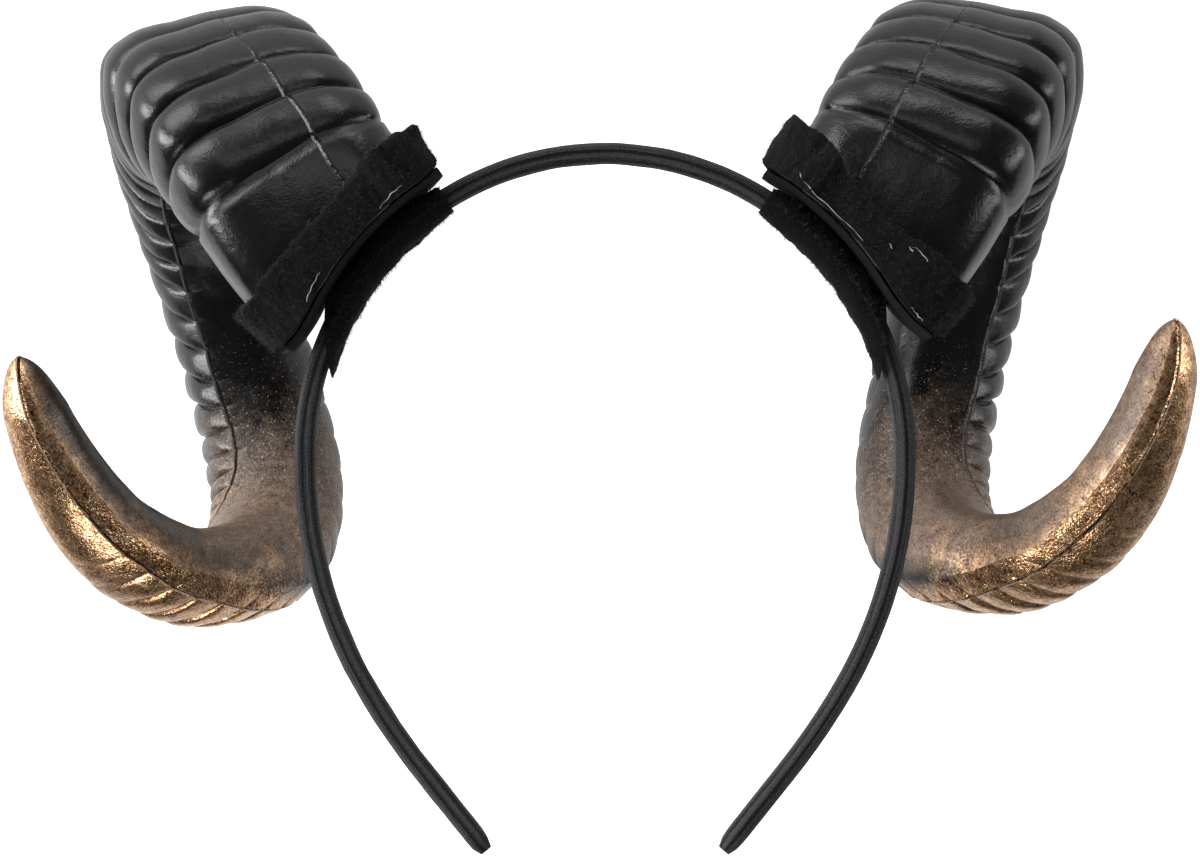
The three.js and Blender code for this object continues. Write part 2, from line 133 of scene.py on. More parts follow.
def lofted(name, rows, joined=False, marks=None):
    """Object from rows of points that close round, with capped ends or with its ends joined up."""
    count, around = rows.shape[:2]
    i, j = np.meshgrid(np.arange(count if joined else count - 1), np.arange(around), indexing="ij")
    beside = (j + 1) % around
    after = (i + 1) % count
    quads = np.stack(
        [i * around + j, i * around + beside, after * around + beside, after * around + j], -1
    ).reshape(-1, 4)
    points = laid_down(rows.reshape(-1, 3))
    a, b, c, d = (points[quads[:, k]] for k in range(4))
    if np.einsum("ij,ij->", (a + b + c + d) / 4 - points.mean(0), np.cross(c - a, d - b)) < 0:
        quads = quads[:, ::-1]
        caps = [list(range(around)), list(range(len(points) - around, len(points)))[::-1]]
    else:
        caps = [list(range(around))[::-1], list(range(len(points) - around, len(points)))]
    mesh = bpy.data.meshes.new(name)
    mesh.from_pydata(points.tolist(), [], quads.tolist() + ([] if joined else caps))
    for mark, values in (marks or {}).items():
        data = mesh.attributes.new(mark, "FLOAT", "POINT").data
        data.foreach_set("value", np.asarray(values, np.float32).reshape(-1))
    mesh.shade_smooth()
    piece = bpy.data.objects.new(name, mesh)
    bpy.context.scene.collection.objects.link(piece)
    return piece


def linear(hex_colour):
    parts = [int(hex_colour[i:i + 2], 16) / 255 for i in (1, 3, 5)]
    return [c / 12.92 if c <= 0.04045 else ((c + 0.055) / 1.055) ** 2.4 for c in parts] + [1.0]


def add_node(material, kind, inputs=None, **settings):
    """Adds a node with its settings; an input is a value, or the socket that it is linked to."""
    node = material.node_tree.nodes.new(kind)
    for setting, value in settings.items():
        setattr(node, setting, value)
    for socket, value in (inputs or {}).items():
        if isinstance(value, bpy.types.NodeSocket):
            material.node_tree.links.new(value, node.inputs[socket])
        else:
            node.inputs[socket].default_value = value
    return node


def dressed(piece, material, slot, *nodes):
    """Gives a piece its material and lets it stand for its CAD nodes."""
    piece.data.materials.append(material)
    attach(piece, "root")
    if nodes:
        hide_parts(*nodes)


half = half_band_path(1.5)
band_rows = []
band_along = []
band_ridges = []
for side_sign, spots in ((-1, half[:0:-1]), (1, half)):
    for spot in spots:
        share = np.argmin(np.abs(half - spot).sum(1)) / (len(half) - 1)
        width = BAND_WIDTH + (BAND_TIP_WIDTH - BAND_WIDTH) * share ** 2
        last = min((1 - share) * (len(half) - 1) / 3, 1)
        end = BAND_END + (1 - BAND_END) * (1 - (1 - last) ** 2) ** 0.5
        outline = rounded_outline(BAND_THICKNESS * end, width * end)
        edge = np.clip((np.abs(outline[:, 1]) - width * end / 2 + 1.2) / 0.8, 0, 1)
        raised = np.zeros(len(outline))
        for ridge in RIBBON_RIDGES:
            from_ridge = outline[:, 0] / (BAND_THICKNESS * end / 2) - ridge["radial"]
            raised += edge * ridge["height"] * np.exp(-(from_ridge / RIBBON_RIDGE_WIDTH) ** 2)
        outline[:, 1] += np.sign(outline[:, 1]) * raised
        band_ridges.append(raised)
        x, z, heading = spot
        band_rows.append(np.stack([
            side_sign * (x + outline[:, 0] * sin(heading)),
            outline[:, 1],
            z + outline[:, 0] * cos(heading),
        ], -1))
        band_along.append(side_sign * share)
band_rows = np.array(band_rows)
band_rows += 0.05 * wobble(band_rows, 5.0, 11)[..., None]
round_share = np.linspace(0, 1, band_rows.shape[1], endpoint=False)
band_marks = {
    "along": np.array(band_along)[:, None] * 190 + 0 * round_share,
    "round": 0 * np.array(band_along)[:, None] + np.abs(round_share - 0.5) * 50,
    "ridge": np.array(band_ridges),
}

# Velvet ribbon: a short dense nylon pile that swallows light face on and shines pale at a glance;
# the pile lies in lengthwise streaks about half a millimetre wide where it was pulled round.
velvet_ribbon = bpy.data.materials.new("black_velvet_ribbon")
velvet_ribbon.use_nodes = True
PILE_STREAK = 0.55
PILE_TUFT = 0.00035
velvet = velvet_ribbon.node_tree.nodes["Principled BSDF"]
along_band = add_node(velvet_ribbon, "ShaderNodeAttribute", attribute_name="along")
round_band = add_node(velvet_ribbon, "ShaderNodeAttribute", attribute_name="round")
streak_place = add_node(velvet_ribbon, "ShaderNodeCombineXYZ", {
    "X": add_node(velvet_ribbon, "ShaderNodeMath", {0: along_band.outputs["Fac"], 1: 0.03},
                  operation="MULTIPLY").outputs[0],
    "Y": add_node(velvet_ribbon, "ShaderNodeMath", {0: round_band.outputs["Fac"], 1: 1 / PILE_STREAK},
                  operation="MULTIPLY").outputs[0],
})
streaks = add_node(velvet_ribbon, "ShaderNodeTexNoise", {
    "Vector": streak_place.outputs[0], "Scale": 1.0, "Detail": 2.0, "Roughness": 0.6,
})
velvet_place = add_node(velvet_ribbon, "ShaderNodeTexCoord")
tufts = add_node(velvet_ribbon, "ShaderNodeTexNoise", {
    "Vector": velvet_place.outputs["Object"], "Scale": 1 / PILE_TUFT, "Detail": 3.0,
})
pile = add_node(velvet_ribbon, "ShaderNodeMath", {
    0: streaks.outputs["Fac"], 1: tufts.outputs["Fac"],
}, operation="ADD")
# Painted highlight and shade on the ribbon's ridges: by their height, raised ridges are painted paler
# and sunk ones darker
ridge_painted_light_and_shade = add_node(velvet_ribbon, "ShaderNodeMapRange", {
    "Value": add_node(velvet_ribbon, "ShaderNodeAttribute", attribute_name="ridge").outputs["Fac"],
    "From Min": -0.2, "From Max": 0.2, "To Min": -0.18, "To Max": 0.24,
})
pile_colour = add_node(velvet_ribbon, "ShaderNodeValToRGB", {
    "Fac": add_node(velvet_ribbon, "ShaderNodeMath", {
        0: add_node(velvet_ribbon, "ShaderNodeMath", {0: pile.outputs[0], 1: 0.5},
                    operation="MULTIPLY").outputs[0],
        1: ridge_painted_light_and_shade.outputs["Result"],
    }, operation="ADD").outputs[0],
})
pile_colour.color_ramp.elements[0].position = 0.40
pile_colour.color_ramp.elements[0].color = linear("#040404")
pile_colour.color_ramp.elements[1].position = 0.66
pile_colour.color_ramp.elements[1].color = linear("#3c3c3e")
pile_bump = add_node(velvet_ribbon, "ShaderNodeBump", {
    "Height": pile.outputs[0], "Strength": 0.5, "Distance": 0.0003,
})
for socket, value in {"Roughness": 0.85, "Specular IOR Level": 0.25, "Sheen Weight": 0.03,
                      "Sheen Roughness": 0.4}.items():
    velvet.inputs[socket].default_value = value
velvet_ribbon.node_tree.links.new(pile_colour.outputs["Color"], velvet.inputs["Base Color"])
velvet_ribbon.node_tree.links.new(pile_bump.outputs["Normal"], velvet.inputs["Normal"])

band = lofted("ribbon_wrapped_headband", band_rows, marks=band_marks)
dressed(band, velvet_ribbon, "velvet_ribbon_band", "headband")


# Felt sleeves: a strip of 1.2 mm black craft felt wrapped round the band under each horn and glued,
# so that the pad has something to hold. The lower end is cut at a slant and runs down in a tail on
# the inner side of the band.
GAP = 0.3
SLEEVE_WALL = 1.2
SLEEVE_SLANT = 13.0
SLEEVE_STEPS = 90
SLEEVE_TAPER = 0.14
SIDES = [
    {
        "name": "left", "sign": -1, "seat": 49.8, "pad_shift": 1.6, "horn_shift": 2.9,
        "nod": 2.6, "lean": 3.4, "yaw": -4.2, "tip_out": 3.9, "tip_down": 1.7,
        "sleeve_from": 32.0, "sleeve_to": 74.5, "collar_more": 0.42, "bare": 0.85,
    },
    {
        "name": "right", "sign": 1, "seat": 45.0, "pad_shift": 6.7, "horn_shift": 6.7,
        "nod": 0.0, "lean": 0.0, "yaw": 0.0, "tip_out": 0.0, "tip_down": 0.0,
        "sleeve_from": 32.5, "sleeve_to": 75.0, "collar_more": 0.0, "bare": 0.0,
    },
]

# Craft felt: matted acrylic fibres with no shine, clumped at about a millimetre, with paler single
# fibres standing out of it.
black_felt = bpy.data.materials.new("black_craft_felt")
black_felt.use_nodes = True
FELT_CLUMP = 0.0016
FELT_FIBRE = 0.00022
felt = black_felt.node_tree.nodes["Principled BSDF"]
felt_place = add_node(black_felt, "ShaderNodeTexCoord")
clumps = add_node(black_felt, "ShaderNodeTexNoise", {
    "Vector": felt_place.outputs["Object"], "Scale": 1 / FELT_CLUMP, "Detail": 4.0,
    "Distortion": 1.2,
})
fibres = add_node(black_felt, "ShaderNodeTexNoise", {
    "Vector": felt_place.outputs["Object"], "Scale": 1 / FELT_FIBRE, "Detail": 2.0,
    "Distortion": 3.0,
})
matted = add_node(black_felt, "ShaderNodeMix", {
    "Factor": 0.45, "A": clumps.outputs["Fac"], "B": fibres.outputs["Fac"],
}, data_type="FLOAT")
felt_colour = add_node(black_felt, "ShaderNodeValToRGB", {"Fac": matted.outputs["Result"]})
felt_colour.color_ramp.elements[0].position = 0.38
felt_colour.color_ramp.elements[0].color = linear("#010101")
felt_colour.color_ramp.elements[1].position = 0.66
felt_colour.color_ramp.elements[1].color = linear("#141415")
felt_bump = add_node(black_felt, "ShaderNodeBump", {
    "Height": matted.outputs["Result"], "Strength": 1.0, "Distance": 0.0012,
})
for socket, value in {"Roughness": 0.9, "Specular IOR Level": 0.15, "Sheen Weight": 0.01,
                      "Sheen Roughness": 0.6}.items():
    felt.inputs[socket].default_value = value
black_felt.node_tree.links.new(felt_colour.outputs["Color"], felt.inputs["Base Color"])
black_felt.node_tree.links.new(felt_bump.outputs["Normal"], felt.inputs["Normal"])


def sleeve_rows(side, outline, inset):
    reach = BAND_THICKNESS / 2 + GAP + SLEEVE_WALL
    share = np.linspace(0, 1, SLEEVE_STEPS)[:, None]
    radial, back = outline[:, 0][None], outline[:, 1][None]
    slant = SLEEVE_SLANT * share * (radial + reach) / (2 * reach)
    heading = np.radians(
        side["sleeve_from"] + (side["sleeve_to"] - slant - side["sleeve_from"]) * share
    )
    radius = CROWN_RADIUS + radial
    rows = np.stack([
        side["sign"] * radius * np.sin(heading), back + 0 * heading, radius * np.cos(heading)
    ], -1)
    frayed = np.concatenate([np.zeros(2), np.ones(SLEEVE_STEPS - 4), np.zeros(2)])[:, None]
    swell = wobble(rows, 6.0, 21) * 0.22 + wobble(rows, 2.1, 22) * 0.10
    outward = np.stack([side["sign"] * np.sin(heading), 0 * heading, np.cos(heading)], -1)
    bulge = outward * np.sign(radial)[..., None] * np.clip(np.abs(radial) / reach, 0, 1)[..., None]
    return rows + bulge * (swell * frayed * inset)[..., None]


sleeve_outsides = {}
for side in SIDES:
    hole = rounded_outline(BAND_THICKNESS + 2 * GAP, BAND_WIDTH + 2 * GAP)
    skin = rounded_outline(
        BAND_THICKNESS + 2 * GAP + 2 * SLEEVE_WALL, BAND_WIDTH + 2 * GAP + 2 * SLEEVE_WALL
    )
    inside = sleeve_rows(side, hole, 0.0)
    ease = np.clip(np.linspace(0, 1, SLEEVE_STEPS) / SLEEVE_TAPER, 0, 1) ** 0.5
    outside = inside + (sleeve_rows(side, skin, 1.0) - inside) * (0.3 + 0.7 * ease)[:, None, None]
    rows = np.concatenate([outside, inside[::-1]])
    wrap = lofted(f"felt_sleeve_{side['name']}", rows, joined=True)
    wrap.data.set_sharp_from_angle(angle=radians(50))
    dressed(wrap, black_felt, "black_felt", f"band_sleeve_{side['name']}")
    sleeve_outsides[side["name"]] = outside

# Felt pads: a rounded strip of felt glued on the sleeve, bowed a little with the band, whose ends
# stick out past the collar like lips. The horn stands on it.
PAD_LENGTH = 50.0
PAD_WIDTH = 34.0
PAD_THICKNESS = 1.6
PAD_CURVE = 70.0
PAD_FLARE = 5.0
FLARE_FROM = 17.0
FLARE_RUN = 15.0
PAD_END_CUT = 0.35
PAD_STEPS = 90
PAD_BOTTOM = CROWN_RADIUS + BAND_THICKNESS / 2 + GAP + SLEEVE_WALL + GAP
HORN_BOTTOM = PAD_BOTTOM + PAD_THICKNESS + GAP


def seat_point(side, along, back, lift):
    """Point over a side's seat: along the pad, back, and lifted off the crown's centre."""
    angle = radians(side["seat"])
    x = side["sign"] * (along * cos(angle) + lift * sin(angle))
    return np.stack([x, back + 0 * x, lift * cos(angle) - along * sin(angle)], -1)


def pad_drop(along):
    """How far the pad has bowed down at a place along it: with the band, and its ends flare off."""
    flare = np.maximum(0, (np.abs(along) - FLARE_FROM) / FLARE_RUN)
    return along ** 2 / (2 * PAD_CURVE) - PAD_FLARE * flare ** 2


for side in SIDES:
    share = np.linspace(-1, 1, PAD_STEPS)[:, None]
    half_width = PAD_WIDTH / 2 * np.sqrt(1 - PAD_END_CUT * share ** 6)
    outline = rounded_outline(PAD_THICKNESS, 2.0, corner_points=4, side_points=26)
    ragged = 0.35 * wobble(share * np.array([[25.0, 3.0, 1.0]]), 4.0, 31)[:, None]
    back = np.sign(outline[:, 1])[None] * np.where(
        np.abs(outline[:, 1])[None] > 0.3,
        half_width + ragged - (1 - np.abs(outline[:, 1]))[None] * half_width, 0.0,
    ) + np.where(np.abs(outline[:, 1])[None] > 0.3, 0.0, outline[:, 1][None] * half_width)
    along = side["pad_shift"] + share * PAD_LENGTH / 2 + 0 * back
    lift = PAD_BOTTOM - pad_drop(along) + PAD_THICKNESS / 2 + outline[:, 0][None]
    rows = seat_point(side, along, back, lift)
    free = np.clip(np.abs(share) * 3 - 2.2, 0, 1)
    rows[..., 2] += 0.25 * free * wobble(rows, 5.0, 32)
    felt_pad = lofted(f"felt_base_{side['name']}", rows)
    felt_pad.data.set_sharp_from_angle(angle=radians(50))
    dressed(felt_pad, black_felt, "black_felt", f"felt_pad_{side['name']}")

# Horns: each is moulded in self-skinning polyurethane foam in a two-part mould and cut flat at the
# root. A thin flash line runs along the outer seam and along the inner face where the mould parted.
# Rings stand out on the outward side, and the last third is smooth.
HORN_OUT = 67.6
HORN_BACK = 70.0
HORN_HEIGHT = 105.0
HORN_WIDTH = 47.0
HORN_DEPTH = 40.0
TIP_RADIUS = 0.6
HORN_SEAT = radians(45.0)
ROOT_SHARE = 0.09
FIRST_RING = 23.2
RING_PITCH = 12.3
RING_PITCH_FALL = 0.983
RING_COUNT = 32
RING_LIFT = 1.15
RING_LIFT_FALL = 0.35
RING_FADE = 7
OUT, BACK, UP, WIDE, DEEP, ROLL, SLIP, TIP = range(8)
SPINE = np.array([
    (0.000, -0.057, 0.000, 1.00, 1.00, 0, -0.16, 0.0),
    (0.095, -0.060, 0.080, 1.00, 1.00, 0, -0.13, 0.0),
    (0.182, -0.030, 0.162, 0.99, 0.98, 3, -0.07, 0.0),
    (0.268, 0.057, 0.244, 0.98, 0.97, 6, 0.00, 0.0),
    (0.345, 0.186, 0.304, 0.96, 0.96, 9, 0.05, 0.0),
    (0.400, 0.343, 0.328, 0.95, 0.95, 10, 0.08, 0.0),
    (0.428, 0.514, 0.313, 0.91, 0.92, 9, 0.10, 0.0),
    (0.438, 0.671, 0.258, 0.86, 0.89, 8, 0.08, 0.0),
    (0.430, 0.800, 0.168, 0.80, 0.85, 6, 0.05, 0.0),
    (0.405, 0.886, 0.057, 0.74, 0.81, 4, 0.00, 0.0),
    (0.385, 0.935, -0.067, 0.66, 0.77, 2, 0.00, 0.0),
    (0.348, 0.943, -0.181, 0.62, 0.74, 0, 0.00, 0.0),
    (0.310, 0.925, -0.305, 0.62, 0.71, 0, -0.04, 0.0),
    (0.272, 0.868, -0.419, 0.63, 0.68, 0, -0.08, 0.0),
    (0.262, 0.770, -0.530, 0.62, 0.65, -5, -0.08, 0.2),
    (0.300, 0.635, -0.614, 0.60, 0.64, -18, -0.04, 0.6),
    (0.390, 0.455, -0.662, 0.57, 0.57, -32, 0.00, 1.0),
    (0.525, 0.275, -0.664, 0.50, 0.51, -35, 0.00, 1.0),
    (0.672, 0.120, -0.618, 0.48, 0.48, -20, 0.00, 1.0),
    (0.803, 0.014, -0.536, 0.45, 0.45, -7, 0.00, 1.0),
    (0.906, -0.086, -0.406, 0.39, 0.40, 8, 0.00, 1.0),
    (0.966, -0.143, -0.278, 0.32, 0.32, 24, 0.00, 1.0),
    (0.994, -0.186, -0.157, 0.32, 0.32, 30, 0.00, 1.0),
])
ACROSS, OUTWARD, RING, SLIP_SHARE, TIP_ACROSS, TIP_OUTWARD, TIP_RING = range(7)
SECTION = np.array([
    (-0.23, 1.00, 0.55, 1.0, -0.23, 1.03, 0.30),
    (0.17, 0.99, 0.85, 0.6, 0.18, 0.92, 0.80),
    (0.60, 0.95, 1.00, 0.2, 0.53, 0.74, 1.00),
    (0.90, 0.74, 1.00, 0.0, 0.82, 0.48, 1.00),
    (1.00, 0.30, 1.00, 0.0, 0.96, 0.14, 1.00),
    (0.97, -0.20, 1.00, 0.0, 0.96, -0.20, 0.90),
    (0.84, -0.60, 0.80, 0.0, 0.80, -0.58, 0.40),
    (0.60, -0.88, 0.15, 0.0, 0.56, -0.84, 0.00),
    (0.30, -0.95, 0.00, 0.0, 0.24, -0.97, 0.00),
    (-0.10, -0.96, 0.00, 0.0, -0.14, -0.98, 0.00),
    (-0.48, -0.87, 0.00, 0.0, -0.50, -0.88, 0.00),
    (-0.78, -0.61, 0.00, 0.0, -0.80, -0.62, 0.00),
    (-0.96, -0.18, 0.10, 0.0, -0.97, -0.18, 0.00),
    (-1.00, 0.26, 0.35, 0.0, -0.90, 0.34, 0.00),
    (-0.93, 0.72, 0.50, 0.0, -0.66, 0.79, 0.00),
    (-0.62, 0.95, 0.60, 0.4, -0.45, 0.92, 0.05),
])
INNER_LINE = 7
CREASE = 14
RING_PROFILE = [
    (0.00, -1.10), (0.03, -0.80), (0.07, -0.32), (0.12, 0.08), (0.19, 0.40), (0.28, 0.66),
    (0.38, 0.84), (0.49, 0.95), (0.60, 1.00), (0.71, 0.96), (0.81, 0.80), (0.89, 0.48),
    (0.94, 0.02), (0.975, -0.60),
]
# How far along the horn each corner's ribs lie from the seam's: they meet at the seam in a shallow
# chevron and slant down the inner side like a rope
RIB_LAG = np.array([
    0, 0.8, 1.8, 2.6, 3.4, 5.5, 8.5, 10.5, 10.0, 7.0, 3.0, -1.0, -4.0, -5.5, -5.5, -2.6,
])[:, None]
CREASED = {0: 0.35, INNER_LINE: 0.55}
TIP_CREASED = {0: 0.9, INNER_LINE: 0.6, CREASE: 1.0}
SEGMENT_STEPS = 11
LEAD_STEPS = 14
TIP_STEPS = 70
TIP_ROUND_FROM = 21 / 22
SPLAY_FROM = 0.6
FINE_POINTS = 501


def blended(table, spot, periodic=False, creased={}):
    """Rows of a table blended smoothly at fractional row numbers, with a crease where one is named."""
    count = len(table)
    i = np.floor(spot).astype(int)
    if not periodic:
        i = np.clip(i, 0, count - 2)
    t = (spot - i)[..., None]
    near = [(i + k) % count if periodic else np.clip(i + k, 0, count - 1) for k in (-1, 0, 1, 2)]
    a, b, c, d = (table[k] for k in near)
    soft = np.ones(count)
    for corner, share in creased.items():
        soft[corner] = 1 - share
    start = (c - a) / 2 * soft[near[1]][..., None]
    end = (d - b) / 2 * soft[near[2]][..., None]
    bend = 3 * (c - b) - 2 * start - end
    twist = 2 * (b - c) + start + end
    return b + t * (start + t * (bend + t * twist))


def spine_row(share):
    return blended(SPINE, np.clip(share, 0, 1) * (len(SPINE) - 1))


def spine_place(share):
    return spine_row(share)[..., OUT:UP + 1] * np.array([HORN_OUT, HORN_BACK, HORN_HEIGHT])


def unit(vectors):
    return vectors / np.linalg.norm(vectors, axis=-1, keepdims=True)


def horn_surface(share, section, lift, grow):
    """Points of the right horn before it is seated, for shares of the spine and section rows."""
    step = 0.002
    forward = unit(spine_place(np.minimum(share + step, 1)) - spine_place(np.maximum(share - step, 0)))
    settle = np.clip(share / ROOT_SHARE, 0, 1)
    settle = (settle * settle * (3 - 2 * settle))[..., None]
    root = np.array([sin(HORN_SEAT), 0, cos(HORN_SEAT)])
    forward = unit(root + (forward - root) * settle)
    across = np.array([1.0, 0, 0]) - forward * forward[..., :1]
    across = unit(across)
    row = spine_row(share)
    roll = np.radians(row[..., ROLL, None])
    across = across * np.cos(roll) + np.cross(forward, across) * np.sin(roll)
    outward = unit(np.cross(across, forward))
    tip = row[..., TIP, None]
    plain = section[..., ACROSS:RING + 1]
    shape = plain + (section[..., TIP_ACROSS:] - plain) * tip
    raised = lift * shape[..., RING]
    blunt = (1 - np.clip((share - TIP_ROUND_FROM) / (1 - TIP_ROUND_FROM), 0, 1) ** 1.5) ** 0.8
    half_width = np.maximum(row[..., WIDE] * HORN_WIDTH / 2 * blunt, TIP_RADIUS) + grow + raised
    half_depth = np.maximum(row[..., DEEP] * HORN_DEPTH / 2 * blunt, TIP_RADIUS) + grow + raised
    sideways = (shape[..., ACROSS] + section[..., SLIP_SHARE] * row[..., SLIP]) * half_width
    return (
        spine_place(share)
        + across * sideways[..., None]
        + outward * (shape[..., OUTWARD] * half_depth)[..., None]
    )


fine_shares = np.linspace(0, 1, FINE_POINTS)
seam_points = horn_surface(fine_shares, np.broadcast_to(SECTION[0], (FINE_POINTS, 7)), 0.0, 0.0)
seam_lengths = np.concatenate([[0], np.cumsum(np.linalg.norm(np.diff(seam_points, axis=0), axis=1))])

stations = [
    (at, 0.4 * max(0, at / FIRST_RING - 0.3))
    for at in np.linspace(0, FIRST_RING * 0.9, LEAD_STEPS)
]
start = FIRST_RING
pitch = RING_PITCH
ring_dice = np.random.default_rng(41)
for ring in range(RING_COUNT):
    size = RING_LIFT * (pitch / RING_PITCH) ** RING_LIFT_FALL * min(1, (RING_COUNT - ring) / RING_FADE)
    size *= ring_dice.uniform(0.88, 1.12)
    for at, lift in RING_PROFILE:
        stations.append((start + at * pitch, lift * size))
    start += pitch
    pitch *= RING_PITCH_FALL
for share in np.linspace(0, 1, TIP_STEPS):
    stations.append((start + (seam_lengths[-1] - start) * sin(share * pi / 2), 0.0))
stations = np.array(stations)
horn_along, horn_lift = stations[:, 0], stations[:, 1]

section_spots = np.arange(0, len(SECTION), 1 / SEGMENT_STEPS)
section_rows = np.concatenate([
    blended(SECTION[:, :TIP_ACROSS], section_spots, periodic=True, creased=CREASED),
    blended(SECTION[:, TIP_ACROSS:], section_spots, periodic=True, creased=TIP_CREASED),
], -1)
skew = blended(RIB_LAG, section_spots, periodic=True, creased={0: 0.7})[:, 0]
skew_fade = np.clip(horn_along / 30, 0, 1) * np.clip((seam_lengths[-1] - horn_along) / 60, 0, 1)
along_grid = horn_along[:, None] + skew_fade[:, None] * skew[None]
share_grid = np.interp(along_grid, seam_lengths, fine_shares)
horn_grid = horn_surface(
    share_grid, np.broadcast_to(section_rows, (len(horn_along), *section_rows.shape)),
    horn_lift[:, None] + 0 * share_grid, 0.0,
)
swell = 0.16 * wobble(horn_grid, 14.0, 42) + 0.05 * wobble(horn_grid, 5.0, 43)
middle = horn_grid.mean(1, keepdims=True)
thick = np.clip(np.linalg.norm(horn_grid - middle, axis=-1) / 12, 0, 1)
horn_grid = horn_grid + unit(horn_grid - middle) * (swell * thick)[..., None]

steps_round = np.linalg.norm(np.diff(horn_grid, axis=1, append=horn_grid[:, :1]), axis=-1)
run_round = np.concatenate([np.zeros((len(horn_grid), 1)), np.cumsum(steps_round, 1)], 1)
whole_round = run_round[:, -1:]


def distance_from(corner):
    """Distance round the section from one of its corners, in millimetres."""
    column = corner * SEGMENT_STEPS
    apart = np.abs(run_round[:, :-1] - run_round[:, column:column + 1])
    return np.minimum(apart, whole_round - apart)


# How much bronze each corner of the section took: the seam and bevel most, the inner side least
GILDED = np.array([
    1.0, 0.85, 0.70, 0.60, 0.50, 0.40, 0.30, 0.20, 0.10, 0.05, 0.05, 0.05, 0.10, 0.12, 0.45, 0.95,
])[:, None]
# Where the left tip's inner face was left nearly bare of paint
BARE = np.array([0, 0, 0, 0, 0, 0, 0, 0.3, 0.8, 1.0, 1.0, 1.0, 1.0, 0.9, 0.1, 0])[:, None]
BARE_FROM = 290.0
BARE_RUN = 45.0
bare_reach = np.clip((along_grid - BARE_FROM) / BARE_RUN, 0, 1)
bare = blended(BARE, section_spots, periodic=True)[:, 0] * bare_reach
horn_marks = {
    "along": along_grid,
    "from_seam": distance_from(0),
    "from_inner_line": distance_from(INNER_LINE),
    "from_crease": distance_from(CREASE),
    "gilded": np.broadcast_to(blended(GILDED, section_spots, periodic=True)[:, 0], along_grid.shape),
    "relief": horn_lift[:, None] * section_rows[:, RING] + 0 * along_grid,
}


def seated(side, points, share=0.0):
    """Moves points of the right horn to a side's seat; its soft tip may splay a little."""
    turn = (
        Matrix.Rotation(radians(side["yaw"]), 3, "Z")
        @ Matrix.Rotation(radians(side["lean"]), 3, "Y")
        @ Matrix.Rotation(radians(side["nod"]), 3, "X")
    )
    splay = np.array([side["tip_out"], 0.0, -side["tip_down"]])
    bend = np.clip((np.asarray(share) - SPLAY_FROM) / (1 - SPLAY_FROM), 0, 1) ** 2
    turned = points @ np.array(turn).T + bend[..., None] * splay
    turned[..., 0] *= side["sign"]
    return turned + seat_point(side, np.array(side["horn_shift"]), 0.0, HORN_BOTTOM)


def seat_normal(side):
    angle = radians(side["seat"])
    return np.array([side["sign"] * sin(angle), 0.0, cos(angle)])


# Self-skinned polyurethane foam: a satin black skin like vinyl, finely pitted, with soft broad
# highlights. From the lower back of the curl to the tip it is airbrushed: a speckled grey edge, then
# taupe, then bronze metallic paint, thickest on the bevel, the seam and the tops of the ribs.
foam_skin = bpy.data.materials.new("moulded_polyurethane_foam_skin")
foam_skin.use_nodes = True
PIT_SIZE = 0.0013
GRAIN_SIZE = 0.0004
SPECKLE_SIZE = 0.0005
MOTTLE_SIZE = 0.0021
FLECK_SIZE = 0.00038
CLOUD_SIZE = 0.014
FLASH_HALF_WIDTH = 0.30
TAUPE_FROM = (200.0, 256.0)
BRONZE_FROM = (240.0, 276.0)
FLECKS_FROM = (185.0, 228.0)
FLECKS_TO = (245.0, 285.0)
# How far the spray's edge is pushed along the horn by each pattern
CLOUD_PUSH = 48.0
SPECKLE_PUSH = 44.0
MOTTLE_PUSH = 28.0
# Where the valley at the crease's start is darkened: painted shade, with some dark paint in it
VALLEY_SHADE_EDGES = (6.5, 1.0)
VALLEY_SHADE_FROM = (214.0, 232.0)
VALLEY_SHADE_TO = (276.0, 300.0)
LINE_HALF_WIDTH = 0.12
FLASH_REACH = 0.6
foam = foam_skin.node_tree.nodes["Principled BSDF"]
foam_place = add_node(foam_skin, "ShaderNodeTexCoord").outputs["Object"]
along_horn, from_seam, from_inner, from_crease, gilded, relief, bare_share = (
    add_node(foam_skin, "ShaderNodeAttribute", attribute_name=mark).outputs["Fac"]
    for mark in ("along", "from_seam", "from_inner_line", "from_crease", "gilded", "relief", "bare")
)
speckle, mottle, fleck, cloud, pits, grain = (
    add_node(foam_skin, "ShaderNodeTexNoise", {
        "Vector": foam_place, "Scale": 1 / size, "Detail": detail, "Roughness": 0.62,
    }).outputs["Fac"]
    for size, detail in (
        (SPECKLE_SIZE, 2.0), (MOTTLE_SIZE, 3.0), (FLECK_SIZE, 0.0), (CLOUD_SIZE, 3.0),
        (PIT_SIZE, 3.0), (GRAIN_SIZE, 1.0),
    )
)

# The edge of the spray: the place along the horn, pushed to and fro by cloud, mottle and speckle
cloud_push = add_node(foam_skin, "ShaderNodeMath", {
    0: cloud, 1: CLOUD_PUSH, 2: -CLOUD_PUSH / 2,
}, operation="MULTIPLY_ADD").outputs[0]
speckle_push = add_node(foam_skin, "ShaderNodeMath", {
    0: speckle, 1: SPECKLE_PUSH, 2: cloud_push,
}, operation="MULTIPLY_ADD").outputs[0]
mottle_push = add_node(foam_skin, "ShaderNodeMath", {
    0: mottle, 1: MOTTLE_PUSH, 2: speckle_push,
}, operation="MULTIPLY_ADD").outputs[0]
pushed = add_node(foam_skin, "ShaderNodeMath", {
    0: mottle_push, 1: -(SPECKLE_PUSH + MOTTLE_PUSH) / 2,
}, operation="ADD").outputs[0]
sprayed = add_node(foam_skin, "ShaderNodeMath", {0: along_horn, 1: pushed}, operation="ADD").outputs[0]
taupe_reach = add_node(foam_skin, "ShaderNodeMapRange", {
    "Value": sprayed, "From Min": TAUPE_FROM[0], "From Max": TAUPE_FROM[1],
}, interpolation_type="SMOOTHSTEP").outputs["Result"]
painted = add_node(foam_skin, "ShaderNodeMath", {0: 1.0, 1: bare_share}, operation="SUBTRACT").outputs[0]
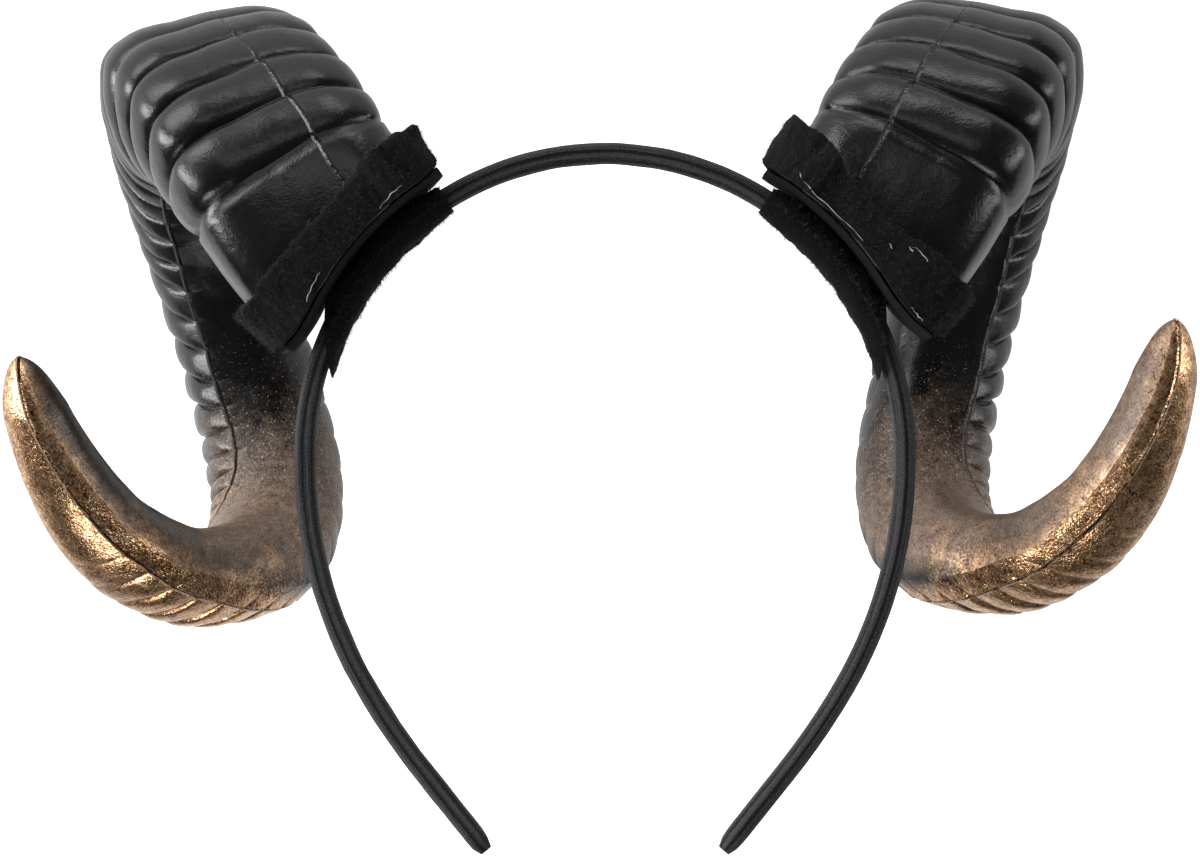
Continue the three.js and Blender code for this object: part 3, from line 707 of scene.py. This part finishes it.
taupe_share = add_node(foam_skin, "ShaderNodeMath", {
    0: taupe_reach, 1: painted,
}, operation="MULTIPLY").outputs[0]
bronze_reach = add_node(foam_skin, "ShaderNodeMapRange", {
    "Value": sprayed, "From Min": BRONZE_FROM[0], "From Max": BRONZE_FROM[1],
}, interpolation_type="SMOOTHSTEP").outputs["Result"]

# Bronze is wiped over the high places: less in the grooves between ribs, and in clouds
cloud_wear = add_node(foam_skin, "ShaderNodeMapRange", {
    "Value": cloud, "From Min": 0.3, "From Max": 0.7, "To Min": -0.25, "To Max": 0.25,
}).outputs["Result"]
relief_wear = add_node(foam_skin, "ShaderNodeMapRange", {
    "Value": relief, "From Min": -0.8, "From Max": 0.8, "To Min": -0.40, "To Max": 0.30,
}).outputs["Result"]
wear = add_node(foam_skin, "ShaderNodeMath", {0: cloud_wear, 1: relief_wear}, operation="ADD").outputs[0]
laid_on = add_node(foam_skin, "ShaderNodeMath", {0: gilded, 1: wear}, operation="ADD").outputs[0]
laid_share = add_node(foam_skin, "ShaderNodeMapRange", {
    "Value": laid_on, "From Min": 0.05, "From Max": 0.75,
}).outputs["Result"]
bronze_share = add_node(foam_skin, "ShaderNodeMath", {
    0: bronze_reach, 1: laid_share,
}, operation="MULTIPLY").outputs[0]

# The colours: pitted black, gritty taupe, gritty bronze
grit_part = add_node(foam_skin, "ShaderNodeMath", {0: speckle, 1: 0.62}, operation="MULTIPLY").outputs[0]
grit = add_node(foam_skin, "ShaderNodeMath", {
    0: mottle, 1: 0.38, 2: grit_part,
}, operation="MULTIPLY_ADD").outputs[0]
BLACK_SHADES = [(0.35, "#050506"), (0.65, "#0b0b0c")]
TAUPE_SHADES = [(0.36, "#3d2f26"), (0.45, "#625145"), (0.56, "#766354"), (0.68, "#8f7a69")]
BRONZE_SHADES = [(0.36, "#20140c"), (0.42, "#8c674b"), (0.53, "#c49a72"), (0.64, "#efd0a8")]
skin_shades = []
for value, shades in ((pits, BLACK_SHADES), (grit, TAUPE_SHADES), (grit, BRONZE_SHADES)):
    ramp = add_node(foam_skin, "ShaderNodeValToRGB", {"Fac": value})
    for _ in shades[2:]:
        ramp.color_ramp.elements.new(0.5)
    for element, (position, colour) in zip(ramp.color_ramp.elements, shades):
        element.position = position
        element.color = linear(colour)
    skin_shades.append(ramp.outputs["Color"])

# Overspray flecks; the valley where the crease starts, darkened with painted shade and some dark paint;
# the broken dark parting lines; and painted pale glints on the seam's torn flash
fleck_spots = add_node(foam_skin, "ShaderNodeMapRange", {
    "Value": fleck, "From Min": 0.745, "From Max": 0.785,
}).outputs["Result"]
fleck_start = add_node(foam_skin, "ShaderNodeMapRange", {
    "Value": sprayed, "From Min": FLECKS_FROM[0], "From Max": FLECKS_FROM[1],
}).outputs["Result"]
fleck_stop = add_node(foam_skin, "ShaderNodeMapRange", {
    "Value": sprayed, "From Min": FLECKS_TO[1], "From Max": FLECKS_TO[0],
}).outputs["Result"]
fleck_window = add_node(foam_skin, "ShaderNodeMath", {
    0: fleck_start, 1: fleck_stop,
}, operation="MULTIPLY").outputs[0]
fleck_share = add_node(foam_skin, "ShaderNodeMath", {
    0: fleck_spots, 1: fleck_window,
}, operation="MULTIPLY").outputs[0]
valley_shade_across = add_node(foam_skin, "ShaderNodeMapRange", {
    "Value": from_crease, "From Min": VALLEY_SHADE_EDGES[0], "From Max": VALLEY_SHADE_EDGES[1],
}).outputs["Result"]
valley_shade_start = add_node(foam_skin, "ShaderNodeMapRange", {
    "Value": along_horn, "From Min": VALLEY_SHADE_FROM[0], "From Max": VALLEY_SHADE_FROM[1],
}).outputs["Result"]
valley_shade_stop = add_node(foam_skin, "ShaderNodeMapRange", {
    "Value": sprayed, "From Min": VALLEY_SHADE_TO[1], "From Max": VALLEY_SHADE_TO[0],
}).outputs["Result"]
valley_shade_window = add_node(foam_skin, "ShaderNodeMath", {
    0: valley_shade_start, 1: valley_shade_stop,
}, operation="MULTIPLY").outputs[0]
valley_dark_paint_and_shade = add_node(foam_skin, "ShaderNodeMath", {
    0: valley_shade_across, 1: valley_shade_window,
}, operation="MULTIPLY").outputs[0]
seam_line = add_node(foam_skin, "ShaderNodeMapRange", {
    "Value": from_seam, "From Min": FLASH_HALF_WIDTH, "From Max": LINE_HALF_WIDTH,
}).outputs["Result"]
inner_line = add_node(foam_skin, "ShaderNodeMapRange", {
    "Value": from_inner, "From Min": FLASH_HALF_WIDTH, "From Max": LINE_HALF_WIDTH,
}).outputs["Result"]
parting = add_node(foam_skin, "ShaderNodeMath", {
    0: seam_line, 1: inner_line,
}, operation="MAXIMUM").outputs[0]
line_break = add_node(foam_skin, "ShaderNodeMapRange", {
    "Value": mottle, "From Min": 0.40, "From Max": 0.48,
}).outputs["Result"]
parting_share = add_node(foam_skin, "ShaderNodeMath", {
    0: parting, 1: line_break,
}, operation="MULTIPLY").outputs[0]
# Painted highlight: pale glints painted in broken spots along the seam's torn flash, standing in for
# light caught on it
seam_glint_spots = add_node(foam_skin, "ShaderNodeMapRange", {
    "Value": speckle, "From Min": 0.60, "From Max": 0.64,
}).outputs["Result"]
seam_painted_glint = add_node(foam_skin, "ShaderNodeMath", {
    0: seam_line, 1: seam_glint_spots,
}, operation="MULTIPLY").outputs[0]

skin_colour = skin_shades[0]
# Laid over the black skin: taupe and bronze paint, painted shade with dark paint in the crease's valley,
# flecks, dark parting lines and painted glints on the seam
for share, over in (
    (taupe_share, skin_shades[1]), (bronze_share, skin_shades[2]), (valley_dark_paint_and_shade, linear("#120c08")),
    (fleck_share, linear("#b5a897")), (parting_share, linear("#040302")),
    (seam_painted_glint, linear("#8f8a84")),
):
    skin_colour = add_node(foam_skin, "ShaderNodeMix", {
        "Factor": share, "A": skin_colour, "B": over,
    }, data_type="RGBA").outputs["Result"]

# The paint's sheen: the bronze is metal flake, the taupe a dull mist of it
bronze_metal = add_node(foam_skin, "ShaderNodeMath", {
    0: bronze_share, 1: 0.85,
}, operation="MULTIPLY").outputs[0]
skin_metal = add_node(foam_skin, "ShaderNodeMath", {
    0: taupe_share, 1: 0.12, 2: bronze_metal,
}, operation="MULTIPLY_ADD").outputs[0]
skin_gloss = add_node(foam_skin, "ShaderNodeMapRange", {
    "Value": cloud, "From Min": 0.3, "From Max": 0.7, "To Min": 0.23, "To Max": 0.31,
}).outputs["Result"]
taupe_gloss = add_node(foam_skin, "ShaderNodeMath", {
    0: taupe_share, 1: 0.16, 2: skin_gloss,
}, operation="MULTIPLY_ADD").outputs[0]
skin_roughness = add_node(foam_skin, "ShaderNodeMath", {
    0: bronze_share, 1: -0.20, 2: taupe_gloss,
}, operation="MULTIPLY_ADD").outputs[0]

# Relief: fine leather-like pits, the paint's grit, and the raised torn flash of the seams
pit_part = add_node(foam_skin, "ShaderNodeMath", {0: pits, 1: 0.65}, operation="MULTIPLY").outputs[0]
skin_relief = add_node(foam_skin, "ShaderNodeMath", {
    0: grain, 1: 0.35, 2: pit_part,
}, operation="MULTIPLY_ADD").outputs[0]
skin_bump = add_node(foam_skin, "ShaderNodeBump", {
    "Height": skin_relief, "Strength": 0.35, "Distance": 0.0004,
})
paint_height = add_node(foam_skin, "ShaderNodeMath", {0: grit, 1: taupe_share}, operation="MULTIPLY")
paint_bump = add_node(foam_skin, "ShaderNodeBump", {
    "Height": paint_height.outputs[0], "Strength": 0.35, "Distance": 0.0004,
    "Normal": skin_bump.outputs["Normal"],
})
flash_near = add_node(foam_skin, "ShaderNodeMath", {
    0: from_seam, 1: from_inner,
}, operation="MINIMUM").outputs[0]
flash_ridge = add_node(foam_skin, "ShaderNodeMapRange", {
    "Value": flash_near, "From Min": FLASH_REACH, "From Max": 0.0,
}).outputs["Result"]
flash_torn = add_node(foam_skin, "ShaderNodeMath", {
    0: flash_ridge, 1: mottle,
}, operation="MULTIPLY").outputs[0]
flash_bump = add_node(foam_skin, "ShaderNodeBump", {
    "Height": flash_torn, "Strength": 1.0, "Distance": 0.0016,
    "Normal": paint_bump.outputs["Normal"],
})
foam.inputs["IOR"].default_value = 1.42
for socket, value in {
    "Base Color": skin_colour, "Metallic": skin_metal, "Roughness": skin_roughness,
    "Normal": flash_bump.outputs["Normal"],
}.items():
    foam_skin.node_tree.links.new(value, foam.inputs[socket])

for side in SIDES:
    rows = seated(side, horn_grid, share_grid)
    normal = seat_normal(side)
    rows[0] += normal * (HORN_BOTTOM - rows[0] @ normal)[:, None]
    horn = lofted(f"ram_horn_{side['name']}", rows, marks=horn_marks | {"bare": side["bare"] * bare})
    dressed(horn, foam_skin, "moulded_foam", f"horn_{side['name']}")

# Felt collars: a strip of 2.2 mm felt cut by hand and wrapped round the horn's root to hide the
# joint, one end glued over the other in front. Its cut edge is uneven and frayed, it lies close on
# the outward side, stands off at the top, and hangs over the pad's edges in front and behind.
COLLAR_HEIGHT = 8.0
COLLAR_THICKNESS = 2.2
TALL, STAND = range(2)
COLLAR = np.array([
    (0.84, 0.1), (0.86, 0.2), (1.02, 0.1), (1.04, 0.3), (1.06, 0.2), (0.96, 0.3), (1.00, 0.1),
    (0.94, 0.2), (0.98, 0.1), (0.92, 0.2), (0.96, 0.1), (0.86, 0.2), (0.74, 0.4), (0.70, 0.7),
    (0.94, 0.6), (1.08, 0.3),
])
COLLAR_STEPS = 26
INNER_LOOPS = 6
RIM_LOOPS = [(1.0, 0.06), (1.02, 0.2), (1.035, 0.4), (1.035, 0.6), (1.02, 0.8), (1.0, 0.94)]
OUTER_LOOPS = 20
WALL_TOP = 0.96
COLLAR_LOOPS = (
    [(rise, 0.0) for rise in np.linspace(0, WALL_TOP, INNER_LOOPS)] + RIM_LOOPS
    + [(rise, 1.0) for rise in np.linspace(WALL_TOP, 0, OUTER_LOOPS)]
)
FLAP_FROM = 12.3
FLAP_TO = 15.62
FLAP_EDGE = 0.09
FLAP_LIFT = 1.5
HANG = 1.0
FALL_UP_TO = 0.7
HANG_FROM = 18.4
HANG_RUN = 2.0
TALLEST_AT = 0.6
TALLEST_RUN = 1.9
FOLDS = [{"at": 2.45, "width": 0.13, "depth": 1.0}, {"at": 14.75, "width": 0.14, "depth": 1.1}]
root_shares = np.linspace(0, 0.32, 90)
collar_spots = np.arange(0, len(SECTION), 1 / COLLAR_STEPS)
collar_section = np.concatenate([
    blended(SECTION[:, :TIP_ACROSS], collar_spots, periodic=True),
    blended(SECTION[:, TIP_ACROSS:], collar_spots, periodic=True),
], -1)
collar_edge = blended(COLLAR, collar_spots, periodic=True)
flap = (
    np.clip((collar_spots - FLAP_FROM) / 1.5, 0, 1)
    * np.clip((FLAP_TO - collar_spots) / FLAP_EDGE, 0, 1)
)


def collar_surface(side, rise, outwards, seed):
    """Points round the horn's root at a share of the collar's height and of its thickness."""
    place = np.stack([
        collar_section[:, ACROSS] * 23, collar_section[:, OUTWARD] * 20,
        0 * collar_spots + 9 * rise,
    ], -1)
    place[:, 2] += 50 * side["sign"]
    lumps = 0.30 * wobble(place, 7.0, seed) + 0.16 * wobble(place, 2.6, seed + 1)
    lumps += 0.10 * wobble(place, 1.2, seed + 4)
    edge_place = place * [1, 1, 0] + [0, 0, 30 * side["sign"]]
    snip = 0.045 * wobble(edge_place, 9.0, seed + 3) + 0.03 * wobble(edge_place, 2.4, seed + 2)
    snip += 0.022 * wobble(edge_place, 0.9, seed + 5)
    folded = sum(
        fold["depth"] * np.exp(-((collar_spots - fold["at"] - 0.25 * rise) / fold["width"]) ** 2)
        for fold in FOLDS
    )
    grow = GAP + (collar_edge[:, STAND] * rise + outwards) * COLLAR_THICKNESS
    grow += (
        outwards * (lumps + 0.35 - folded * min(1, 1.3 * rise))
        + flap * FLAP_LIFT * (0.25 + 0.75 * outwards)
    )
    grow = np.maximum(grow, GAP + 0.9 * outwards)
    apart = np.abs(collar_spots - TALLEST_AT)
    apart = np.minimum(apart, len(SECTION) - apart)
    more = side["collar_more"] * np.exp(-(apart / TALLEST_RUN) ** 2)
    tall = rise * (collar_edge[:, TALL] + snip + 0.05 * flap + more) * COLLAR_HEIGHT
    grid = horn_surface(
        root_shares[:, None] + 0 * collar_spots[None],
        np.broadcast_to(collar_section, (len(root_shares), *collar_section.shape)),
        np.zeros((len(root_shares), len(collar_spots))), grow[None],
    )
    seat = np.array([sin(HORN_SEAT), 0, cos(HORN_SEAT)])
    heights = grid @ seat
    points = np.empty((len(collar_spots), 3))
    for k in range(len(collar_spots)):
        share = np.interp(tall[k], heights[:, k], root_shares)
        spot = share / root_shares[-1] * (len(root_shares) - 1)
        low = min(int(spot), len(root_shares) - 2)
        points[k] = grid[low, k] + (grid[low + 1, k] - grid[low, k]) * (spot - low)
    return points


# Loose fibres standing out of the felt, drawn 0.08 mm thick, about three times a real one, so that
# they show.
FIBRE_COUNT = 4200
FIBRE_WIDTH = 0.08
FIBRE_LENGTH = (0.5, 1.7)


def loose_fibres(name, rows, seed):
    """Short bent tapering fibres rooted at random places on a grid of points."""
    dice = np.random.default_rng(seed)
    count, around = rows.shape[:2]
    i = dice.integers(0, count - 1, FIBRE_COUNT)
    j = dice.integers(0, around, FIBRE_COUNT)
    root = rows[i, j]
    run = rows[i, (j + 1) % around] - root
    rise = rows[i + 1, j] - root
    out = np.cross(run, rise)
    out /= np.maximum(np.linalg.norm(out, axis=1, keepdims=True), 1e-6)
    centre = rows.mean((0, 1))
    out *= np.sign(np.einsum("ij,ij->i", out, root - centre))[:, None]
    lean = dice.normal(size=(FIBRE_COUNT, 3))
    way = out * 0.55 + 0.8 * lean / np.linalg.norm(lean, axis=1, keepdims=True)
    way /= np.linalg.norm(way, axis=1, keepdims=True)
    length = dice.uniform(*FIBRE_LENGTH, FIBRE_COUNT)[:, None]
    bend = dice.normal(size=(FIBRE_COUNT, 3)) * 0.25
    spine = [root - out * 0.15, root + way * length * 0.5, root + (way + bend) * length]
    across = np.cross(way, [0.3, 0.5, 0.81])
    across /= np.maximum(np.linalg.norm(across, axis=1, keepdims=True), 1e-6)
    beside = np.cross(way, across)
    corners = []
    for place, width in zip(spine[:2], (1.0, 0.7)):
        for turn in (0, 2 * pi / 3, 4 * pi / 3):
            corners.append(place + (across * cos(turn) + beside * sin(turn)) * FIBRE_WIDTH / 2 * width)
    corners.append(spine[2])
    points = np.stack(corners, 1).reshape(-1, 3)
    faces = []
    for k in range(FIBRE_COUNT):
        a = 7 * k
        for m in range(3):
            n = (m + 1) % 3
            faces.append((a + m, a + n, a + 3 + n, a + 3 + m))
            faces.append((a + 3 + m, a + 3 + n, a + 6))
        faces.append((a + 2, a + 1, a))
    mesh = bpy.data.meshes.new(name)
    mesh.from_pydata(laid_down(points).tolist(), [], faces)
    fibres = bpy.data.objects.new(name, mesh)
    bpy.context.scene.collection.objects.link(fibres)
    return fibres


# The loose ends catch the light and look greyer than the matted felt.
pale_fibre = bpy.data.materials.new("loose_felt_fibre")
pale_fibre.use_nodes = True
loose = pale_fibre.node_tree.nodes["Principled BSDF"]
loose.inputs["Base Color"].default_value = linear("#1f1f21")
loose.inputs["Roughness"].default_value = 0.6
collar_loops = {}
for side in SIDES:
    normal = seat_normal(side)
    down = np.array([side["sign"] * normal[2], 0.0, -abs(normal[0])])
    falls = []
    for outwards in (0.0, 1.0):
        loop = seated(side, collar_surface(side, 0.0, outwards, 51))
        hang = HANG * np.clip((np.abs(loop[:, 1]) - HANG_FROM) / HANG_RUN, 0, 1)
        falls.append(HORN_BOTTOM - pad_drop(loop @ down) - hang - loop @ normal)
    loops = []
    for rise, outwards in COLLAR_LOOPS:
        fall = (falls[0] * (1 - outwards) + falls[1] * outwards) * max(0, 1 - rise / FALL_UP_TO)
        loops.append(seated(side, collar_surface(side, rise, outwards, 51)) + normal * fall[:, None])
    loops = np.array(loops)
    collar = lofted(f"felt_ruff_{side['name']}", loops, joined=True)
    dressed(collar, black_felt, "black_felt", f"felt_collar_{side['name']}")
    for place, rows, seed in (
        ("collar", loops[INNER_LOOPS:], 61), ("sleeve", sleeve_outsides[side["name"]], 62),
    ):
        fibres = loose_fibres(f"felt_fibres_{place}_{side['name']}", rows, seed)
        dressed(fibres, pale_fibre, "black_felt")
    collar_loops[side["name"]] = loops

# Hot glue: fine clear threads drawn off the nozzle when the felt was stuck down. They lie on the
# collar, so each is placed by the collar's own loops.
GLUE_WIDTH = 0.16
GLUE_THREADS = [
    {"side": "right", "from": (15.2, 0.10), "to": (16.85, 0.10), "sag": -0.04, "wave": 0.016},
    {"side": "right", "from": (14.95, 0.20), "to": (15.1, 0.13), "sag": 0.0, "wave": 0.01},
    {"side": "right", "from": (17.5, 0.80), "to": (17.85, 0.72), "sag": 0.02, "wave": 0.01},
    {"side": "right", "from": (17.45, 0.78), "to": (17.55, 0.68), "sag": 0.0, "wave": 0.01},
    {"side": "right", "from": (17.2, 0.50), "to": (17.28, 0.46), "sag": 0.0, "wave": 0.0},
    {"side": "right", "from": (18.2, 0.06), "to": (18.6, 0.04), "sag": 0.0, "wave": 0.01},
    {"side": "left", "from": (15.2, 0.10), "to": (15.9, 0.06), "sag": 0.03, "wave": 0.01},
    {"side": "left", "from": (17.4, 0.16), "to": (17.9, 0.08), "sag": 0.02, "wave": 0.01},
]
THREAD_STEPS = 40
clear_glue = bpy.data.materials.new("clear_hot_glue")
clear_glue.use_nodes = True
glue = clear_glue.node_tree.nodes["Principled BSDF"]
glue.inputs["Base Color"].default_value = linear("#a9a9ab")
glue.inputs["Roughness"].default_value = 0.2
for number, thread in enumerate(GLUE_THREADS, 1):
    outer = collar_loops[thread["side"]][INNER_LOOPS + len(RIM_LOOPS):]
    share = np.linspace(0, 1, THREAD_STEPS)
    spot = thread["from"][0] + (thread["to"][0] - thread["from"][0]) * share
    rise = thread["from"][1] + (thread["to"][1] - thread["from"][1]) * share
    rise += thread["sag"] * 4 * share * (1 - share) + thread["wave"] * np.sin(17 * share)
    row = np.clip((WALL_TOP - rise) / WALL_TOP, 0, 1) * (len(outer) - 1)
    low = np.minimum(row.astype(int), len(outer) - 2)
    column = np.round(spot * COLLAR_STEPS).astype(int) % len(collar_spots)
    place = outer[low, column] + (outer[low + 1, column] - outer[low, column]) * (row - low)[:, None]
    place = np.array([np.interp(share, share[::3], place[::3, k]) for k in range(3)]).T
    ahead = unit(np.gradient(place, axis=0))
    off = unit(place - outer.mean((0, 1)))
    beside = unit(np.cross(ahead, off))
    off = np.cross(beside, ahead)
    thick = GLUE_WIDTH / 2 * (0.35 + 0.65 * np.sin(pi * share)[:, None] ** 0.4)
    thick *= 1 + 0.5 * wobble(place, 2.0, 70 + number)[:, None]
    rows = np.stack([
        place + off * 0.25 + thick * (beside * cos(turn) + off * sin(turn))
        for turn in np.linspace(0, 2 * pi, 8, endpoint=False)
    ], 1)
    strand = lofted(f"glue_thread_{number}", rows)
    dressed(strand, clear_glue, "black_felt")

# Floor: a pale, evenly lit sweep of paper that the headband lies on. Lit apart from the headband,
# it looks white and throws little of its light back on the black foam.
FLOOR_SIZE = 6.0
FLOOR_GLOW = (0.12, 0.9)
floor_mesh = bpy.data.meshes.new("paper_sweep")
corners = [(-1, -1), (1, -1), (1, 1), (-1, 1)]
floor_corners = [(x * FLOOR_SIZE / 2, y * FLOOR_SIZE / 2, 0) for x, y in corners]
floor_mesh.from_pydata(floor_corners, [], [(0, 1, 2, 3)])
floor = bpy.data.objects.new("paper_sweep", floor_mesh)
bpy.context.scene.collection.objects.link(floor)
paper = bpy.data.materials.new("white_paper")
paper.use_nodes = True
sheet = paper.node_tree.nodes["Principled BSDF"]
sheet.inputs["Base Color"].default_value = linear("#f4f4f4")
sheet.inputs["Roughness"].default_value = 0.9
sheet.inputs["Emission Color"].default_value = linear("#ffffff")
seen = add_node(paper, "ShaderNodeLightPath")
seen_glow = add_node(paper, "ShaderNodeMapRange", {
    "Value": seen.outputs["Is Camera Ray"], "To Min": FLOOR_GLOW[0], "To Max": FLOOR_GLOW[1],
})
paper.node_tree.links.new(seen_glow.outputs["Result"], sheet.inputs["Emission Strength"])
floor_mesh.materials.append(paper)

# Studio light: a big soft box at the upper left, a strip on each side, weak boxes in front, above
# and at the lower left, and a dim white room all round. Places in millimetres as worn, sizes in
# metres, powers in watts.
LIGHTS = [
    {"name": "soft_box_upper_left", "at": (-860, -560, 860), "size": (1.0, 0.9), "power": 19.0},
    {"name": "soft_box_front", "at": (-60, -1200, 560), "size": (0.55, 0.35), "power": 1.2},
    {"name": "top_strip", "at": (120, -420, 1100), "size": (0.5, 0.35), "power": 4.0},
    {"name": "strip_box_left", "at": (-1150, -300, -60), "size": (0.35, 0.9), "power": 18.0},
    {"name": "strip_box_right", "at": (1150, -300, 60), "size": (0.3, 0.9), "power": 6.0},
    {"name": "soft_box_lower_left", "at": (-200, -560, -1000), "size": (0.5, 0.4), "power": 6.0},
]
LIGHTS_AIM = (0, 20, 20)
ROOM_GLOW = 0.10
for light in LIGHTS:
    lamp_data = bpy.data.lights.new(light["name"], "AREA")
    lamp_data.shape = "RECTANGLE"
    lamp_data.size, lamp_data.size_y = light["size"]
    lamp_data.energy = light["power"]
    lamp = bpy.data.objects.new(light["name"], lamp_data)
    lamp.location = rest @ Vector(light["at"])
    way = rest @ Vector(LIGHTS_AIM) - lamp.location
    lamp.rotation_euler = way.to_track_quat("-Z", "Y").to_euler()
    bpy.context.scene.collection.objects.link(lamp)
room = bpy.data.worlds.new("pale_room")
room.use_nodes = True
room.node_tree.nodes["Background"].inputs["Color"].default_value = linear("#ffffff")
room.node_tree.nodes["Background"].inputs["Strength"].default_value = ROOM_GLOW
bpy.context.scene.world = room
bpy.context.scene.view_settings.view_transform = "Standard"

# Camera: a metre in front of the worn band, level with the crown's middle, on a long lens.
CAMERA_AT = Vector((-1.08, -1000.0, 5.09))
LENS = 138.6
SENSOR_WIDTH = 36.0
camera_data = bpy.data.cameras.new("camera")
camera_data.lens = LENS
camera_data.sensor_width = SENSOR_WIDTH
camera_data.clip_start = 0.01
camera = bpy.data.objects.new("camera", camera_data)
camera.matrix_world = (
    Matrix.Translation(rest @ CAMERA_AT) @ rest_turn @ Matrix.Rotation(pi / 2, 4, "X")
)
bpy.context.scene.collection.objects.link(camera)
bpy.context.scene.camera = camera
